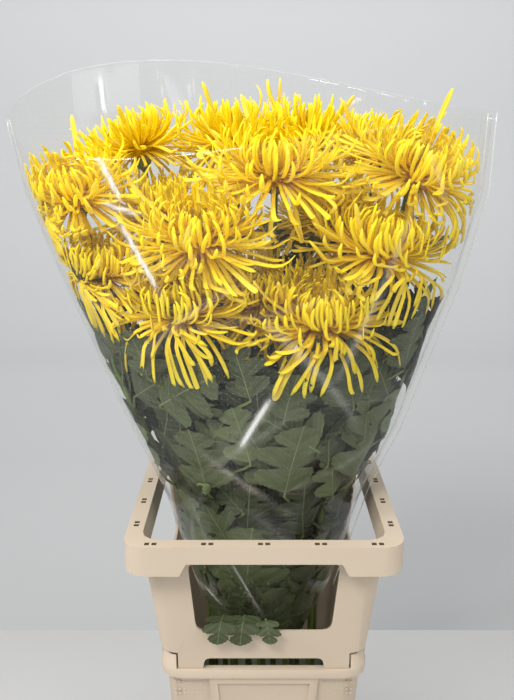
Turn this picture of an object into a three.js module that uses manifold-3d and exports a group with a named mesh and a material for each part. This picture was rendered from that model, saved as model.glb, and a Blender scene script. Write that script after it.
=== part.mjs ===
// Yellow spider chrysanthemums in a clear film sleeve, standing in a flower bucket with a collar.
// Millimetres, +Z up, front towards -Y. The origin is the middle of the bucket's underside.

import * as THREE from "three";
import { mergeVertices } from "three/addons/utils/BufferGeometryUtils.js";
import Module from "manifold-3d";

const wasm = await Module();
wasm.setup();

// Gap between pieces that rest on each other.
const SEAT_GAP = 0.3;

// The crate-shaped pieces are this much deeper than they are wide, on each side of the middle.
const EXTRA_DEPTH = 30;

// Bucket: an oblong tub with a flat rim. Halves are half widths.
const BUCKET = { height: 240, footHalf: 90, topHalf: 104, rimHalf: 110, corner: 20, rimDepth: 10 };
const BUCKET_WALL = 3;
const BUCKET_FLOOR = 4;
const EAR = { height: 16, thickness: 3, reach: 18 };
const PANEL = { low: 120, high: 231, lowHalf: 50, highHalf: 58, proud: 4, border: 9, recess: 2.5 };

// Collar: a square frame with a window in each side, standing on the bucket's rim.
const COLLAR = { top: 396, footHalf: 107, topHalf: 126, rimHalf: 140, corner: 22, wall: 3 };
const RIM_THICKNESS = 4;
const LIP = { thickness: 2.5, cornerBottom: 365, middleBottom: 378, middleHalf: 77, slope: 9 };
const WINDOW = { low: 288, high: 371, lowHalf: 70, highHalf: 77, corner: 10, sideExtra: 28 };
const SLOT = { height: 13, half: 62 };
const CHAMFER = { height: 20, width: 17 };

const WATER_LEVEL = 95;

// Sleeve: half widths and half depths of the film at each height, as its edge shows them.
const SLEEVE_LEVELS = [
  { z: 268, x: 76, y: 86, shift: 0 },
  { z: 396, x: 115, y: 113, shift: 0 },
  { z: 474, x: 151, y: 128, shift: 0 },
  { z: 634, x: 211, y: 153, shift: -4 },
  { z: 730, x: 241, y: 165, shift: -10 },
  { z: 800, x: 250, y: 169, shift: -16 },
  { z: 880, x: 252, y: 170, shift: -17 },
];
const SLEEVE_SIDES = 24;
const FILM = 0.7;
const SLEEVE_TOP = { mean: 818, backRise: 46, wave: 18, waveAngle: 125, lowest: 750 };
const PLEAT_DEPTH = 0.02;

// Stems and what they carry.
const STEM = { radius: 3.2, sides: 5, waist: 262, lean: 0.92 };
const CALYX = { radius: 12, height: 12, drop: 13.3 };
const EYE = { radius: 7, height: 6, sides: 6 };

// Each head: middle of its core, the way it faces, where its stem crosses the waist, and its size.
const HEADS = [
  { core: [-198, -30, 727], facing: [-0.25, -0.48, 0.84], waist: [-66, 6], size: 1 },
  { core: [-145, 80, 774], facing: [-0.3, 0.1, 0.95], waist: [-50, 42], size: 0.92 },
  { core: [-115, 35, 706], facing: [-0.1, -0.2, 0.97], waist: [-38, 14], size: 0.9 },
  { core: [12, -45, 752], facing: [0.02, -0.36, 0.93], waist: [0, -12], size: 1.12 },
  { core: [-35, 85, 781], facing: [-0.1, 0.2, 0.97], waist: [-20, 44], size: 1 },
  { core: [52, 100, 782], facing: [0.1, 0.3, 0.95], waist: [14, 52], size: 0.95 },
  { core: [158, -40, 750], facing: [0.3, -0.46, 0.84], waist: [36, -8], size: 1.08 },
  { core: [132, 62, 766], facing: [0.2, 0.1, 0.97], waist: [64, 8], size: 0.9 },
  { core: [117, -75, 674], facing: [0.2, -0.18, 0.96], waist: [56, -36], size: 1.08 },
  { core: [88, 35, 700], facing: [0.1, -0.1, 0.99], waist: [14, 18], size: 0.9 },
  { core: [-64, -88, 688], facing: [-0.08, -0.5, 0.86], waist: [-34, -24], size: 1.06 },
  { core: [-169, -54, 650], facing: [0.1, -0.3, 0.94], waist: [-58, -30], size: 0.86 },
  { core: [-80, -98, 618], facing: [-0.15, -0.34, 0.93], waist: [-36, -54], size: 1 },
  { core: [-2, -58, 625], facing: [0, -0.4, 0.92], waist: [-4, -46], size: 0.94 },
  { core: [56, -96, 609], facing: [0.05, -0.42, 0.9], waist: [26, -58], size: 1.04 },
  { core: [-82, 100, 668], facing: [-0.2, 0.55, 0.82], waist: [-18, 72], size: 0.92 },
  { core: [80, 104, 674], facing: [0.2, 0.5, 0.84], waist: [46, 42], size: 0.92 },
];

// A head is a dense body of short petals in rings, with long loose petals standing out of it.
// Each ring of the body: radius and height between petals, and at the petals' tips.
const FRINGE = 11;
const BODY_BASE = -13;
const BODY_RINGS = [
  { valley: [20, -12] },
  { valley: [40, -9], tip: [70, -27], turn: 0 },
  { valley: [31, -4] },
  { valley: [38, 4], tip: [66, 9], turn: 1 },
  { valley: [27, 8] },
  { valley: [29, 15], tip: [46, 30], turn: 0 },
  { valley: [11, 12] },
];
const BODY_TOP = 12;

// Long petals. Angles are above the head's rim plane, from the root to the tip.
const PETAL = { half: 3, thickness: 2.6, gap: 0.7, skirtDrop: 66 };
const LONG_PETALS = [
  { count: 3, root: [18, 4], rise: [20, 62], length: 76 },
  { count: 4, root: [20, -5], rise: [0, -52], length: 94 },
];

// Leaves lie in rings just inside the film, alternately close to it and behind.
const LEAF = { length: 104, width: 84, thickness: 0.8, stalk: 1.5, stalkRise: 22, room: 0.5, shortest: 45 };
// Leaf tips stay under the heads: lowest at the front, higher at the sides and the back.
const LEAF_TOP = { front: 586, rise: 62 };
const LEAF_RINGS = [
  { z: 300, count: 7, depth: 3.6 },
  { z: 362, count: 9, depth: 17 },
  { z: 424, count: 9, depth: 3.6 },
  { z: 486, count: 10, depth: 17 },
  { z: 548, count: 11, depth: 3.6 },
];
// Half width of the blade at shares of its length: two pairs of lobes and the tip lobe.
const LEAF_OUTLINE = [
  [0, 0.03],
  [0.1, 0.3],
  [0.27, 0.42],
  [0.33, 0.19],
  [0.52, 0.5],
  [0.66, 0.2],
  [0.83, 0.27],
  [1, 0.02],
];

// A leaf spills out of the front window and hangs over its sill. Its path in Y and Z:
const SPILL_PATH = [
  [-82, 253],
  [-118, 282],
  [-141, 292],
  [-151, 284],
  [-154, 260],
];
const SPILL = { stem: 13, x: -24, width: 66 };

const MATERIALS = {
  crate: new THREE.MeshStandardMaterial({ color: "#ddcbb0", roughness: 0.55, metalness: 0 }),
  film: new THREE.MeshStandardMaterial({
    color: "#eef0ee",
    roughness: 0.08,
    metalness: 0,
    transparent: true,
    opacity: 0.25,
  }),
  water: new THREE.MeshStandardMaterial({
    color: "#9fb0a0",
    roughness: 0.05,
    metalness: 0,
    transparent: true,
    opacity: 0.5,
  }),
  leaf: new THREE.MeshStandardMaterial({ color: "#566340", roughness: 0.7, metalness: 0 }),
  petal: new THREE.MeshStandardMaterial({ color: "#f0c808", roughness: 0.5, metalness: 0 }),
  eye: new THREE.MeshStandardMaterial({ color: "#8f9a45", roughness: 0.6, metalness: 0 }),
};

const vector = (x, y, z) => new THREE.Vector3(x, y, z);
const radians = THREE.MathUtils.degToRad;

// Repeatable draws between 0 and 1.
function drawer(seed) {
  let state = seed;
  return () => {
    state = (state * 16807) % 2147483647;
    return state / 2147483647;
  };
}

function solidOf(geometry) {
  geometry.deleteAttribute("normal");
  geometry.deleteAttribute("uv");
  const merged = mergeVertices(geometry, 1e-4);
  return new wasm.Manifold(
    new wasm.Mesh({
      numProp: 3,
      vertProperties: new Float32Array(merged.attributes.position.array),
      triVerts: new Uint32Array(merged.index.array),
    }),
  );
}

function meshOf(name, solid, material) {
  const made = solid.getMesh();
  const geometry = new THREE.BufferGeometry();
  geometry.setAttribute("position", new THREE.BufferAttribute(made.vertProperties, 3));
  geometry.setIndex(new THREE.BufferAttribute(made.triVerts, 1));
  geometry.computeVertexNormals();
  const mesh = new THREE.Mesh(geometry, material);
  mesh.name = name;
  return mesh;
}

// Skins a row of rings of points into one closed solid. A ring of one point is a tip.
// From point turnedFrom of each ring on, the other diagonal splits the squares.
function loft(rings, around = false, turnedFrom = Infinity) {
  const points = rings.flat();
  const starts = [];
  let total = 0;
  for (const ring of rings) {
    starts.push(total);
    total += ring.length;
  }
  const faces = [];
  const bridge = (i, j) => {
    const [a, b] = [rings[i].length, rings[j].length];
    for (let k = 0; k < Math.max(a, b); k++) {
      const [a0, a1] = [starts[i] + (k % a), starts[i] + ((k + 1) % a)];
      const [b0, b1] = [starts[j] + (k % b), starts[j] + ((k + 1) % b)];
      if (k >= turnedFrom) faces.push(a0, a1, b0, a1, b1, b0);
      else {
        if (a > 1) faces.push(a0, a1, b1);
        if (b > 1) faces.push(a0, b1, b0);
      }
    }
  };
  for (let i = 0; i + 1 < rings.length; i++) bridge(i, i + 1);
  if (around) bridge(rings.length - 1, 0);
  else {
    const last = rings.length - 1;
    for (let k = 1; k + 1 < rings[0].length; k++) faces.push(0, k + 1, k);
    for (let k = 1; k + 1 < rings[last].length; k++)
      faces.push(starts[last], starts[last] + k, starts[last] + k + 1);
  }
  let volume = 0;
  for (let f = 0; f < faces.length; f += 3) {
    const [p, q, r] = [points[faces[f]], points[faces[f + 1]], points[faces[f + 2]]];
    volume += p.dot(q.clone().cross(r));
  }
  if (volume < 0) faces.reverse();
  const geometry = new THREE.BufferGeometry();
  geometry.setAttribute(
    "position",
    new THREE.Float32BufferAttribute(points.flatMap((p) => [p.x, p.y, p.z]), 3),
  );
  geometry.setIndex(faces);
  return solidOf(geometry);
}

// A level oblong ring with rounded corners, given by its half width.
function oblongRing(half, corner, z, steps = 3) {
  const ring = [];
  for (let quarter = 0; quarter < 4; quarter++)
    for (let k = 0; k <= steps; k++) {
      const angle = ((quarter + k / steps) * Math.PI) / 2;
      const insetX = quarter === 0 || quarter === 3 ? half - corner : corner - half;
      const insetY = quarter < 2 ? half + EXTRA_DEPTH - corner : corner - half - EXTRA_DEPTH;
      ring.push(vector(insetX + corner * Math.cos(angle), insetY + corner * Math.sin(angle), z));
    }
  return ring;
}

const oblongLoft = (levels) => loft(levels.map(([half, corner, z]) => oblongRing(half, corner, z)));

function boxSolid(low, high) {
  const size = high.map((v, i) => v - low[i]);
  const box = new THREE.BoxGeometry(...size);
  box.translate(...low.map((v, i) => v + size[i] / 2));
  return solidOf(box);
}

// A trapezium with rounded corners in the X-Z plane, pushed through along Y.
function trapeziumCut(low, high, lowHalf, highHalf, corner, nearY, farY) {
  const shape = new THREE.Shape();
  const corners = [
    [-lowHalf, low],
    [lowHalf, low],
    [highHalf, high],
    [-highHalf, high],
  ].map(([x, z]) => new THREE.Vector2(x, z));
  corners.forEach((here, i) => {
    const before = corners[(i + 3) % 4];
    const after = corners[(i + 1) % 4];
    const enter = here.clone().add(before.clone().sub(here).setLength(corner));
    const leave = here.clone().add(after.clone().sub(here).setLength(corner));
    if (i === 0) shape.moveTo(enter.x, enter.y);
    else shape.lineTo(enter.x, enter.y);
    shape.quadraticCurveTo(here.x, here.y, leave.x, leave.y);
  });
  shape.closePath();
  const geometry = new THREE.ExtrudeGeometry(shape, {
    depth: farY - nearY,
    bevelEnabled: false,
    curveSegments: 3,
  });
  geometry.rotateX(Math.PI / 2);
  geometry.translate(0, farY, 0);
  return solidOf(geometry);
}

// What a wall facing -Y carries, made for all four walls. The shape is drawn from the wall's
// distance beyond its half width and the wall's own extra half length.
function onAllWalls(make) {
  const [broad, narrow] = [make(EXTRA_DEPTH, 0), make(0, WINDOW.sideExtra)];
  return [broad, broad.rotate([0, 0, 180]), narrow.rotate([0, 0, 90]), narrow.rotate([0, 0, -90])];
}

function bucketHalfAt(z) {
  const share = z / (BUCKET.height - BUCKET.rimDepth);
  return BUCKET.footHalf + (BUCKET.topHalf - BUCKET.footHalf) * Math.min(share, 1);
}

function makeBucket() {
  const { height, footHalf, topHalf, rimHalf, corner, rimDepth } = BUCKET;
  const shoulder = height - rimDepth;
  const outside = oblongLoft([
    [footHalf - 3, corner - 3, 0],
    [bucketHalfAt(4), corner, 4],
    [topHalf, corner, shoulder],
    [rimHalf, corner + 4, shoulder],
    [rimHalf, corner + 4, height],
  ]);
  const inside = oblongLoft([
    [footHalf - BUCKET_WALL, corner - 2, BUCKET_FLOOR],
    [topHalf - BUCKET_WALL, corner - 2, height + 1],
  ]);
  const slab = (border, front, behind) =>
    loft(
      [
        [PANEL.low + border, PANEL.lowHalf - border],
        [PANEL.high - border, PANEL.highHalf - border],
      ].map(([z, half]) => {
        const face = -bucketHalfAt(z) - EXTRA_DEPTH - PANEL.proud;
        return [
          vector(-half, face - front, z),
          vector(half, face - front, z),
          vector(half, face + behind, z),
          vector(-half, face + behind, z),
        ];
      }),
    );
  const panel = slab(0, 0, PANEL.proud + 1).subtract(slab(PANEL.border, 1, PANEL.recess));
  const earRing = oblongLoft([
    [rimHalf, corner + 4, height - 1],
    [rimHalf - 2, corner + 2, height + EAR.height],
  ]).subtract(
    oblongLoft([
      [rimHalf - EAR.thickness, corner + 1, height - 2],
      [rimHalf - EAR.thickness, corner + 1, height + EAR.height + 1],
    ]),
  );
  const nearX = rimHalf - EAR.reach;
  const nearY = nearX + EXTRA_DEPTH;
  const bar = (x, y) => boxSolid([-x, -y, height - 1], [x, y, height + EAR.height + 1]);
  const ears = earRing.subtract(bar(nearX, nearY + 90)).subtract(bar(nearX + 90, nearY));
  return wasm.Manifold.union([outside.subtract(inside), panel, panel.rotate([0, 0, 180]), ears]);
}

function makeCollar() {
  const { top, footHalf, topHalf, rimHalf, corner, wall } = COLLAR;
  const bottom = BUCKET.height + SEAT_GAP;
  const shell = oblongLoft([
    [footHalf, corner - 4, bottom],
    [topHalf, corner, top - 1],
  ]);
  const flange = oblongLoft([
    [rimHalf, corner, top - RIM_THICKNESS],
    [rimHalf, corner, top],
  ]);
  const lip = oblongLoft([
    [rimHalf, corner, LIP.cornerBottom],
    [rimHalf, corner, top - 1],
  ]).subtract(
    oblongLoft([
      [rimHalf - LIP.thickness, corner - 2, LIP.cornerBottom - 1],
      [rimHalf - LIP.thickness, corner - 2, top],
    ]),
  );
  const lipCut = (out, longer) =>
    trapeziumCut(
      LIP.cornerBottom - 4,
      LIP.middleBottom,
      LIP.middleHalf + LIP.slope + longer,
      LIP.middleHalf + longer,
      1,
      -rimHalf - out - 1,
      -topHalf - out - 4,
    );
  const bore = oblongLoft([
    [footHalf - wall, corner - 6, bottom - 1],
    [topHalf - wall, corner - 3, top + 1],
  ]);
  const window = (out, longer) =>
    trapeziumCut(
      WINDOW.low,
      WINDOW.high,
      WINDOW.lowHalf + longer,
      WINDOW.highHalf + longer,
      WINDOW.corner,
      -topHalf - out - 1,
      -footHalf - out + 14,
    );
  const slot = (out, longer) =>
    trapeziumCut(
      bottom - 8,
      bottom + SLOT.height,
      SLOT.half + longer + 3,
      SLOT.half + longer,
      6,
      -footHalf - out - 6,
      -footHalf - out + 14,
    );
  // The foot of each corner is cut back in a slope, clear of the bucket's ears.
  const chamfer = loft([
    oblongRing(footHalf - CHAMFER.width, corner, bottom - 1),
    oblongRing(footHalf + 3, corner, bottom + CHAMFER.height),
    oblongRing(rimHalf + 2, corner, bottom + CHAMFER.height + 1),
    oblongRing(rimHalf + 2, corner, top + 2),
  ]);
  const short = footHalf - CHAMFER.width;
  const bar = (x, y) => boxSolid([-x, -y, bottom - 1], [x, y, top]);
  const kept = wasm.Manifold.union([chamfer, bar(short, 200), bar(200, short + EXTRA_DEPTH)]);
  const cuts = [bore, ...[lipCut, window, slot].flatMap((cut) => onAllWalls(cut))];
  return wasm.Manifold.union([shell, flange, lip])
    .subtract(wasm.Manifold.union(cuts))
    .intersect(kept);
}

// Half width, half depth and sideways shift of the film at a height.
function sleeveAt(z) {
  let i = 0;
  while (i + 2 < SLEEVE_LEVELS.length && z > SLEEVE_LEVELS[i + 1].z) i++;
  const [low, high] = [SLEEVE_LEVELS[i], SLEEVE_LEVELS[i + 1]];
  const share = (z - low.z) / (high.z - low.z);
  const between = (key) => low[key] + (high[key] - low[key]) * share;
  return { x: between("x"), y: between("y"), shift: between("shift") };
}

// A point inside the film at an angle round it, some depth in.
function onSleeve(angle, z, depth) {
  const at = sleeveAt(z);
  return vector(at.shift + (at.x - depth) * Math.cos(angle), (at.y - depth) * Math.sin(angle), z);
}

function makeSleeve() {
  const sections = [];
  let inside;
  for (let i = 0; i < SLEEVE_SIDES; i++) {
    const angle = ((i + 0.5) / SLEEVE_SIDES) * 2 * Math.PI;
    const { mean, backRise, wave, waveAngle } = SLEEVE_TOP;
    const rim = mean + backRise * Math.sin(angle) + wave * Math.cos(2 * (angle - radians(waveAngle)));
    const levels = [...SLEEVE_LEVELS.map(({ z }) => z).filter((z) => z < SLEEVE_TOP.lowest), rim];
    const wall = (depth) =>
      levels.map((z, k) => {
        const out = i % 2 ? (-PLEAT_DEPTH * sleeveAt(z).y * k) / levels.length : 0;
        return onSleeve(angle, z, depth + out);
      });
    sections.push([...wall(0), ...wall(FILM).reverse()]);
    inside = levels.length;
  }
  // The same diagonals inside and outside keep the film evenly thick.
  return loft(sections, true, inside);
}

// A stem rises straight from the floor to the waist, then bends out to its head.
class Stem extends THREE.Curve {
  constructor(head) {
    super();
    const [x, y] = head.waist;
    this.foot = vector(x * STEM.lean, y * STEM.lean, BUCKET_FLOOR + SEAT_GAP);
    this.waist = vector(x, y, STEM.waist);
    this.neck = vector(...head.core).addScaledVector(axisOf(head), -CALYX.drop - CALYX.height);
    const reach = this.neck.distanceTo(this.waist) * 0.36;
    const up = this.waist.clone().sub(this.foot).normalize();
    const turn = axisOf(head).add(vector(0, 0, 1)).normalize();
    this.upper = new THREE.CubicBezierCurve3(
      this.waist,
      this.waist.clone().addScaledVector(up, reach),
      this.neck.clone().addScaledVector(turn, -reach),
      this.neck,
    );
  }

  // Share 0 to 1 runs over the bent part alone.
  getPoint(share, target = new THREE.Vector3()) {
    return this.upper.getPoint(share, target);
  }

  atHeight(z) {
    const share = (z - this.foot.z) / (STEM.waist - this.foot.z);
    if (share <= 1) return this.foot.clone().lerp(this.waist, share);
    let [low, high] = [0, 1];
    for (let i = 0; i < 24; i++) {
      const middle = (low + high) / 2;
      if (this.upper.getPoint(middle).z < z) low = middle;
      else high = middle;
    }
    return this.upper.getPoint(low);
  }
}

function axisOf(head) {
  return vector(...head.facing).normalize();
}

// A ring of points round a centre, square to a direction.
function crossRing(centre, along, radius, sides) {
  const side = vector(0, 1, 0).cross(along).normalize();
  const other = along.clone().cross(side).normalize();
  return Array.from({ length: sides }, (_, k) => {
    const angle = (k / sides) * 2 * Math.PI;
    return centre
      .clone()
      .addScaledVector(side, radius * Math.cos(angle))
      .addScaledVector(other, radius * Math.sin(angle));
  });
}

function makeStem(head, stem, radius = STEM.radius) {
  const rings = [crossRing(stem.foot, vector(0, 0, 1), radius, STEM.sides)];
  for (const share of [0, 0.25, 0.5, 0.72, 0.88])
    rings.push(crossRing(stem.getPoint(share), stem.getTangent(share), radius, STEM.sides));
  const axis = axisOf(head);
  rings.push(crossRing(stem.neck, axis, radius, STEM.sides));
  const seat = stem.neck.clone().addScaledVector(axis, CALYX.height);
  const cup = seat.clone().addScaledVector(axis, -CALYX.height * 0.5);
  rings.push(crossRing(cup, axis, CALYX.radius * 0.85, STEM.sides));
  rings.push(crossRing(seat, axis, CALYX.radius, STEM.sides));
  return loft(rings);
}

// Turns a shape made about +Z so that it faces along a head's axis at its core.
function placeOnHead(geometry, head) {
  const turn = new THREE.Quaternion().setFromUnitVectors(vector(0, 0, 1), axisOf(head));
  return solidOf(geometry.applyQuaternion(turn).translate(...head.core));
}

function lathe(profile, sides) {
  const points = profile.map(([r, z]) => new THREE.Vector2(r, z));
  return new THREE.LatheGeometry(points, sides).rotateX(Math.PI / 2);
}

function makeEye(head) {
  const base = BODY_TOP + SEAT_GAP;
  const profile = [
    [0, base],
    [EYE.radius, base],
    [EYE.radius * 0.7, base + EYE.height * 0.75],
    [0, base + EYE.height],
  ];
  return placeOnHead(lathe(profile, EYE.sides), head);
}

// The planes that part a head from its neighbours and from the stems that pass it.
function partingPlanes(index, stems) {
  const centre = vector(...HEADS[index].core);
  const planes = [];
  HEADS.forEach((other, i) => {
    if (i === index) return;
    const apart = centre.clone().sub(vector(...other.core));
    const middle = centre.clone().addScaledVector(apart, -0.5);
    planes.push({ point: middle, normal: apart.normalize(), room: PETAL.gap });
    let nearest = stems[i].neck;
    for (let share = 0; share <= 1; share += 0.02) {
      const point = stems[i].getPoint(share);
      if (point.distanceTo(centre) < nearest.distanceTo(centre)) nearest = point;
    }
    const away = centre.clone().sub(nearest).normalize();
    planes.push({ point: nearest, normal: away, room: STEM.radius + PETAL.gap + 4 });
  });
  const floor = centre.clone().setZ(centre.z - PETAL.skirtDrop);
  planes.push({ point: floor, normal: vector(0, 0, 1), room: 0 });
  return planes;
}

// Bends a point of a petal clear of the neighbours and of the film.
function bendClear(point, planes, margin) {
  const bent = point.clone();
  for (let pass = 0; pass < 6; pass++) {
    for (const { point: on, normal, room } of planes) {
      const short = room + margin - bent.clone().sub(on).dot(normal);
      if (short > 0) bent.addScaledVector(normal, short);
    }
    const at = sleeveAt(bent.z);
    const [inX, inY] = [at.x - margin - 5, at.y - margin - 5];
    const out = Math.hypot((bent.x - at.shift) / inX, bent.y / inY);
    if (out > 1) {
      bent.x = at.shift + (bent.x - at.shift) / out;
      bent.y /= out;
    }
  }
  return bent;
}

// The line that a petal follows, from its root in the core to its tip.
function petalLine(head, layer, turn, length, lift) {
  const axis = axisOf(head);
  const side = vector(0, 1, 0).cross(axis).normalize();
  const other = axis.clone().cross(side);
  const out = side.multiplyScalar(Math.cos(turn)).addScaledVector(other, Math.sin(turn));
  const here = vector(...head.core)
    .addScaledVector(out, layer.root[0])
    .addScaledVector(axis, layer.root[1]);
  const parts = 12;
  const line = [here.clone()];
  for (let k = 0; k < parts; k++) {
    const share = (k + 0.5) / parts;
    const rise = radians(layer.rise[0] + (layer.rise[1] - layer.rise[0]) * share + lift);
    here.addScaledVector(out, (Math.cos(rise) * length) / parts);
    here.addScaledVector(axis, (Math.sin(rise) * length) / parts);
    line.push(here.clone());
  }
  return { line, across: axis.clone().cross(out) };
}

function makePetal({ line, across }, planes) {
  const middle = bendClear(line[line.length >> 1], planes, PETAL.half);
  const tip = bendClear(line.at(-1), planes, 1);
  const ring = (here, along) => {
    const wide = across.clone().addScaledVector(along, -across.dot(along)).normalize();
    const under = along.clone().cross(wide);
    return [
      here.clone().addScaledVector(wide, PETAL.half),
      here.clone().addScaledVector(wide, -PETAL.half),
      here.clone().addScaledVector(under, PETAL.thickness),
    ];
  };
  const root = ring(line[0], middle.clone().sub(line[0]).normalize());
  return loft([root, ring(middle, tip.clone().sub(line[0]).normalize()), [tip]]);
}

// The body is one skin over rings of alternating tips and valleys.
function makeBody(head, planes, draw) {
  const axis = axisOf(head);
  const side = vector(0, 1, 0).cross(axis).normalize();
  const other = axis.clone().cross(side);
  const start = draw() * 2 * Math.PI;
  const place = (radius, height, angle) =>
    vector(...head.core)
      .addScaledVector(side, radius * Math.cos(angle))
      .addScaledVector(other, radius * Math.sin(angle))
      .addScaledVector(axis, height);
  const rings = BODY_RINGS.map(({ valley, tip, turn }) =>
    Array.from({ length: 2 * FRINGE }, (_, k) => {
      const isTip = tip && k % 2 === turn;
      const stretch = isTip ? 0.88 + 0.24 * draw() : 1;
      const [radius, height] = isTip ? tip : valley;
      const angle = start + ((k + (isTip ? 0.5 * (draw() - 0.5) : 0)) / FRINGE) * Math.PI;
      const point = place(radius * stretch * head.size, height * stretch, angle);
      return tip ? bendClear(point, planes, 1) : point;
    }),
  );
  return loft([[place(0, BODY_BASE, 0)], ...rings, [place(0, BODY_TOP, 0)]]);
}

function makeHead(index, stems) {
  const head = HEADS[index];
  const draw = drawer(101 + 37 * index);
  const planes = partingPlanes(index, stems);
  const pieces = [makeBody(head, planes, draw)];
  for (const layer of LONG_PETALS) {
    const start = draw() * 2 * Math.PI;
    for (let k = 0; k < layer.count; k++) {
      const turn = start + ((k + 0.6 * (draw() - 0.5)) / layer.count) * 2 * Math.PI;
      const length = layer.length * head.size * (0.86 + 0.24 * draw());
      const lift = 20 * (draw() - 0.5);
      pieces.push(makePetal(petalLine(head, layer, turn, length, lift), planes));
    }
  }
  // Slivers left where a bent petal grazes the body are dropped.
  const parts = wasm.Manifold.union(pieces).decompose();
  return parts.sort((a, b) => b.volume() - a.volume())[0];
}

// The four corners of a leafstalk, lower pair first.
const stalkRing = (centre, side, above, half = LEAF.stalk) =>
  [
    [1, -1],
    [-1, -1],
    [-1, 1],
    [1, 1],
  ].map(([a, b]) => centre.clone().addScaledVector(side, a * half).addScaledVector(above, b * half));

// A leaf runs out from inside its stem and up along the film. Room thickens it on all sides.
function makeLeaf({ point, base, angle, z, depth, length, lean }, room = 0) {
  const out = base.clone().sub(point).normalize();
  const side = vector(0, 0, 1).cross(out).normalize();
  const above = out.clone().cross(side);
  const stalk = stalkRing(point, side, above, LEAF.stalk + room);
  const rings = LEAF_OUTLINE.map(([share, half]) => {
    const up = share * length;
    const wide = half * LEAF.width * (length / LEAF.length) + room;
    const arch = 2.5 * Math.sin(Math.PI * share);
    const corner = (side, thick) => {
      const level = z + up * Math.cos(lean) * 0.95 - side * wide * Math.sin(lean);
      const at = sleeveAt(level);
      const round = (up * Math.sin(lean) + side * wide * Math.cos(lean)) / Math.hypot(
        at.x * Math.sin(angle),
        at.y * Math.cos(angle),
      );
      return onSleeve(angle + round, level, depth + arch - 1 + thick);
    };
    const inner = LEAF.thickness + room;
    return [corner(1, -room), corner(-1, -room), corner(-1, inner), corner(1, inner)];
  });
  return loft([stalk, ...rings]);
}

// All leaves, each on the nearest stem from which it clears the other stems, their leaves and the heads.
function planLeaves(stems, blooms) {
  const draw = drawer(4711);
  const leaves = [];
  const taken = stems.map((stem, owner) => ({
    owner,
    solid: makeStem(HEADS[owner], stem, STEM.radius + LEAF.room),
  }));
  for (const solid of blooms) taken.push({ owner: null, solid });
  const choose = (wanted) => {
    const near = stems
      .map((stem, owner) => ({ owner, point: stem.atHeight(wanted.z - LEAF.stalkRise) }))
      .sort((a, b) => a.point.distanceTo(wanted.base) - b.point.distanceTo(wanted.base));
    for (const shrink of [1, 0.85, 0.7, 0.55])
      for (const foot of near.slice(0, 4)) {
        const leaf = { ...wanted, ...foot, length: wanted.length * shrink };
        const solid = makeLeaf(leaf, LEAF.room);
        const others = taken.filter(({ owner }) => owner !== leaf.owner);
        if (others.some((other) => !solid.intersect(other.solid).isEmpty())) continue;
        leaves.push(leaf);
        taken.push({ owner: leaf.owner, solid });
        return;
      }
  };
  LEAF_RINGS.forEach((ring, row) => {
    for (let k = 0; k < ring.count; k++) {
      const angle = ((k + 0.5 * (row % 2) + 0.14 * (draw() - 0.5)) / ring.count) * 2 * Math.PI;
      const lean = radians(24 * (draw() - 0.5));
      const grown = LEAF.length * (0.9 + 0.2 * draw());
      const top = LEAF_TOP.front + LEAF_TOP.rise * Math.min(1, 1 + Math.sin(angle));
      const length = Math.min(grown, top - ring.z);
      const base = onSleeve(angle, ring.z, ring.depth);
      if (length > LEAF.shortest) choose({ angle, z: ring.z, depth: ring.depth, length, lean, base });
    }
  });
  return leaves;
}

function makeSpill(stem) {
  const path = new THREE.CatmullRomCurve3(SPILL_PATH.map(([y, z]) => vector(SPILL.x, y, z)));
  const rings = LEAF_OUTLINE.map(([share, half]) => {
    const along = 0.18 + 0.82 * share;
    const [here, ahead] = [path.getPointAt(along), path.getTangentAt(along)];
    const up = vector(1, 0, 0).cross(ahead).normalize();
    const wide = half * SPILL.width;
    return [
      here.clone().add(vector(wide, 0, 0)),
      here.clone().add(vector(-wide, 0, 0)),
      here.clone().add(vector(-wide, 0, 0)).addScaledVector(up, -LEAF.thickness),
      here.clone().add(vector(wide, 0, 0)).addScaledVector(up, -LEAF.thickness),
    ];
  });
  const start = path.getPoint(0);
  const foot = stem.atHeight(start.z - 6);
  const stalk = (at) => stalkRing(at, vector(1, 0, 0), vector(0, 0, 1));
  return loft([stalk(foot), stalk(start), ...rings]);
}

function makeLeafyStem(index, stems, leaves) {
  const pieces = [makeStem(HEADS[index], stems[index])];
  for (const leaf of leaves.filter(({ owner }) => owner === index)) pieces.push(makeLeaf(leaf));
  if (index === SPILL.stem) pieces.push(makeSpill(stems[index]));
  return wasm.Manifold.union(pieces);
}

function makeWater(stems) {
  const inset = BUCKET_WALL + SEAT_GAP;
  const [low, high] = [BUCKET_FLOOR + SEAT_GAP, WATER_LEVEL];
  const halfAt = (z) => {
    const share = (z - BUCKET_FLOOR) / (BUCKET.height + 1 - BUCKET_FLOOR);
    return BUCKET.footHalf + (BUCKET.topHalf - BUCKET.footHalf) * share - inset;
  };
  const body = oblongLoft([
    [halfAt(low), BUCKET.corner - 2, low],
    [halfAt(high), BUCKET.corner - 2, high],
  ]);
  const holes = stems.map((stem) => {
    const wide = STEM.radius + SEAT_GAP + 0.2;
    const below = stem.foot.clone().setZ(low - 1);
    return loft([below, stem.waist].map((p) => crossRing(p, vector(0, 0, 1), wide, STEM.sides)));
  });
  return body.subtract(wasm.Manifold.union(holes));
}

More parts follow.
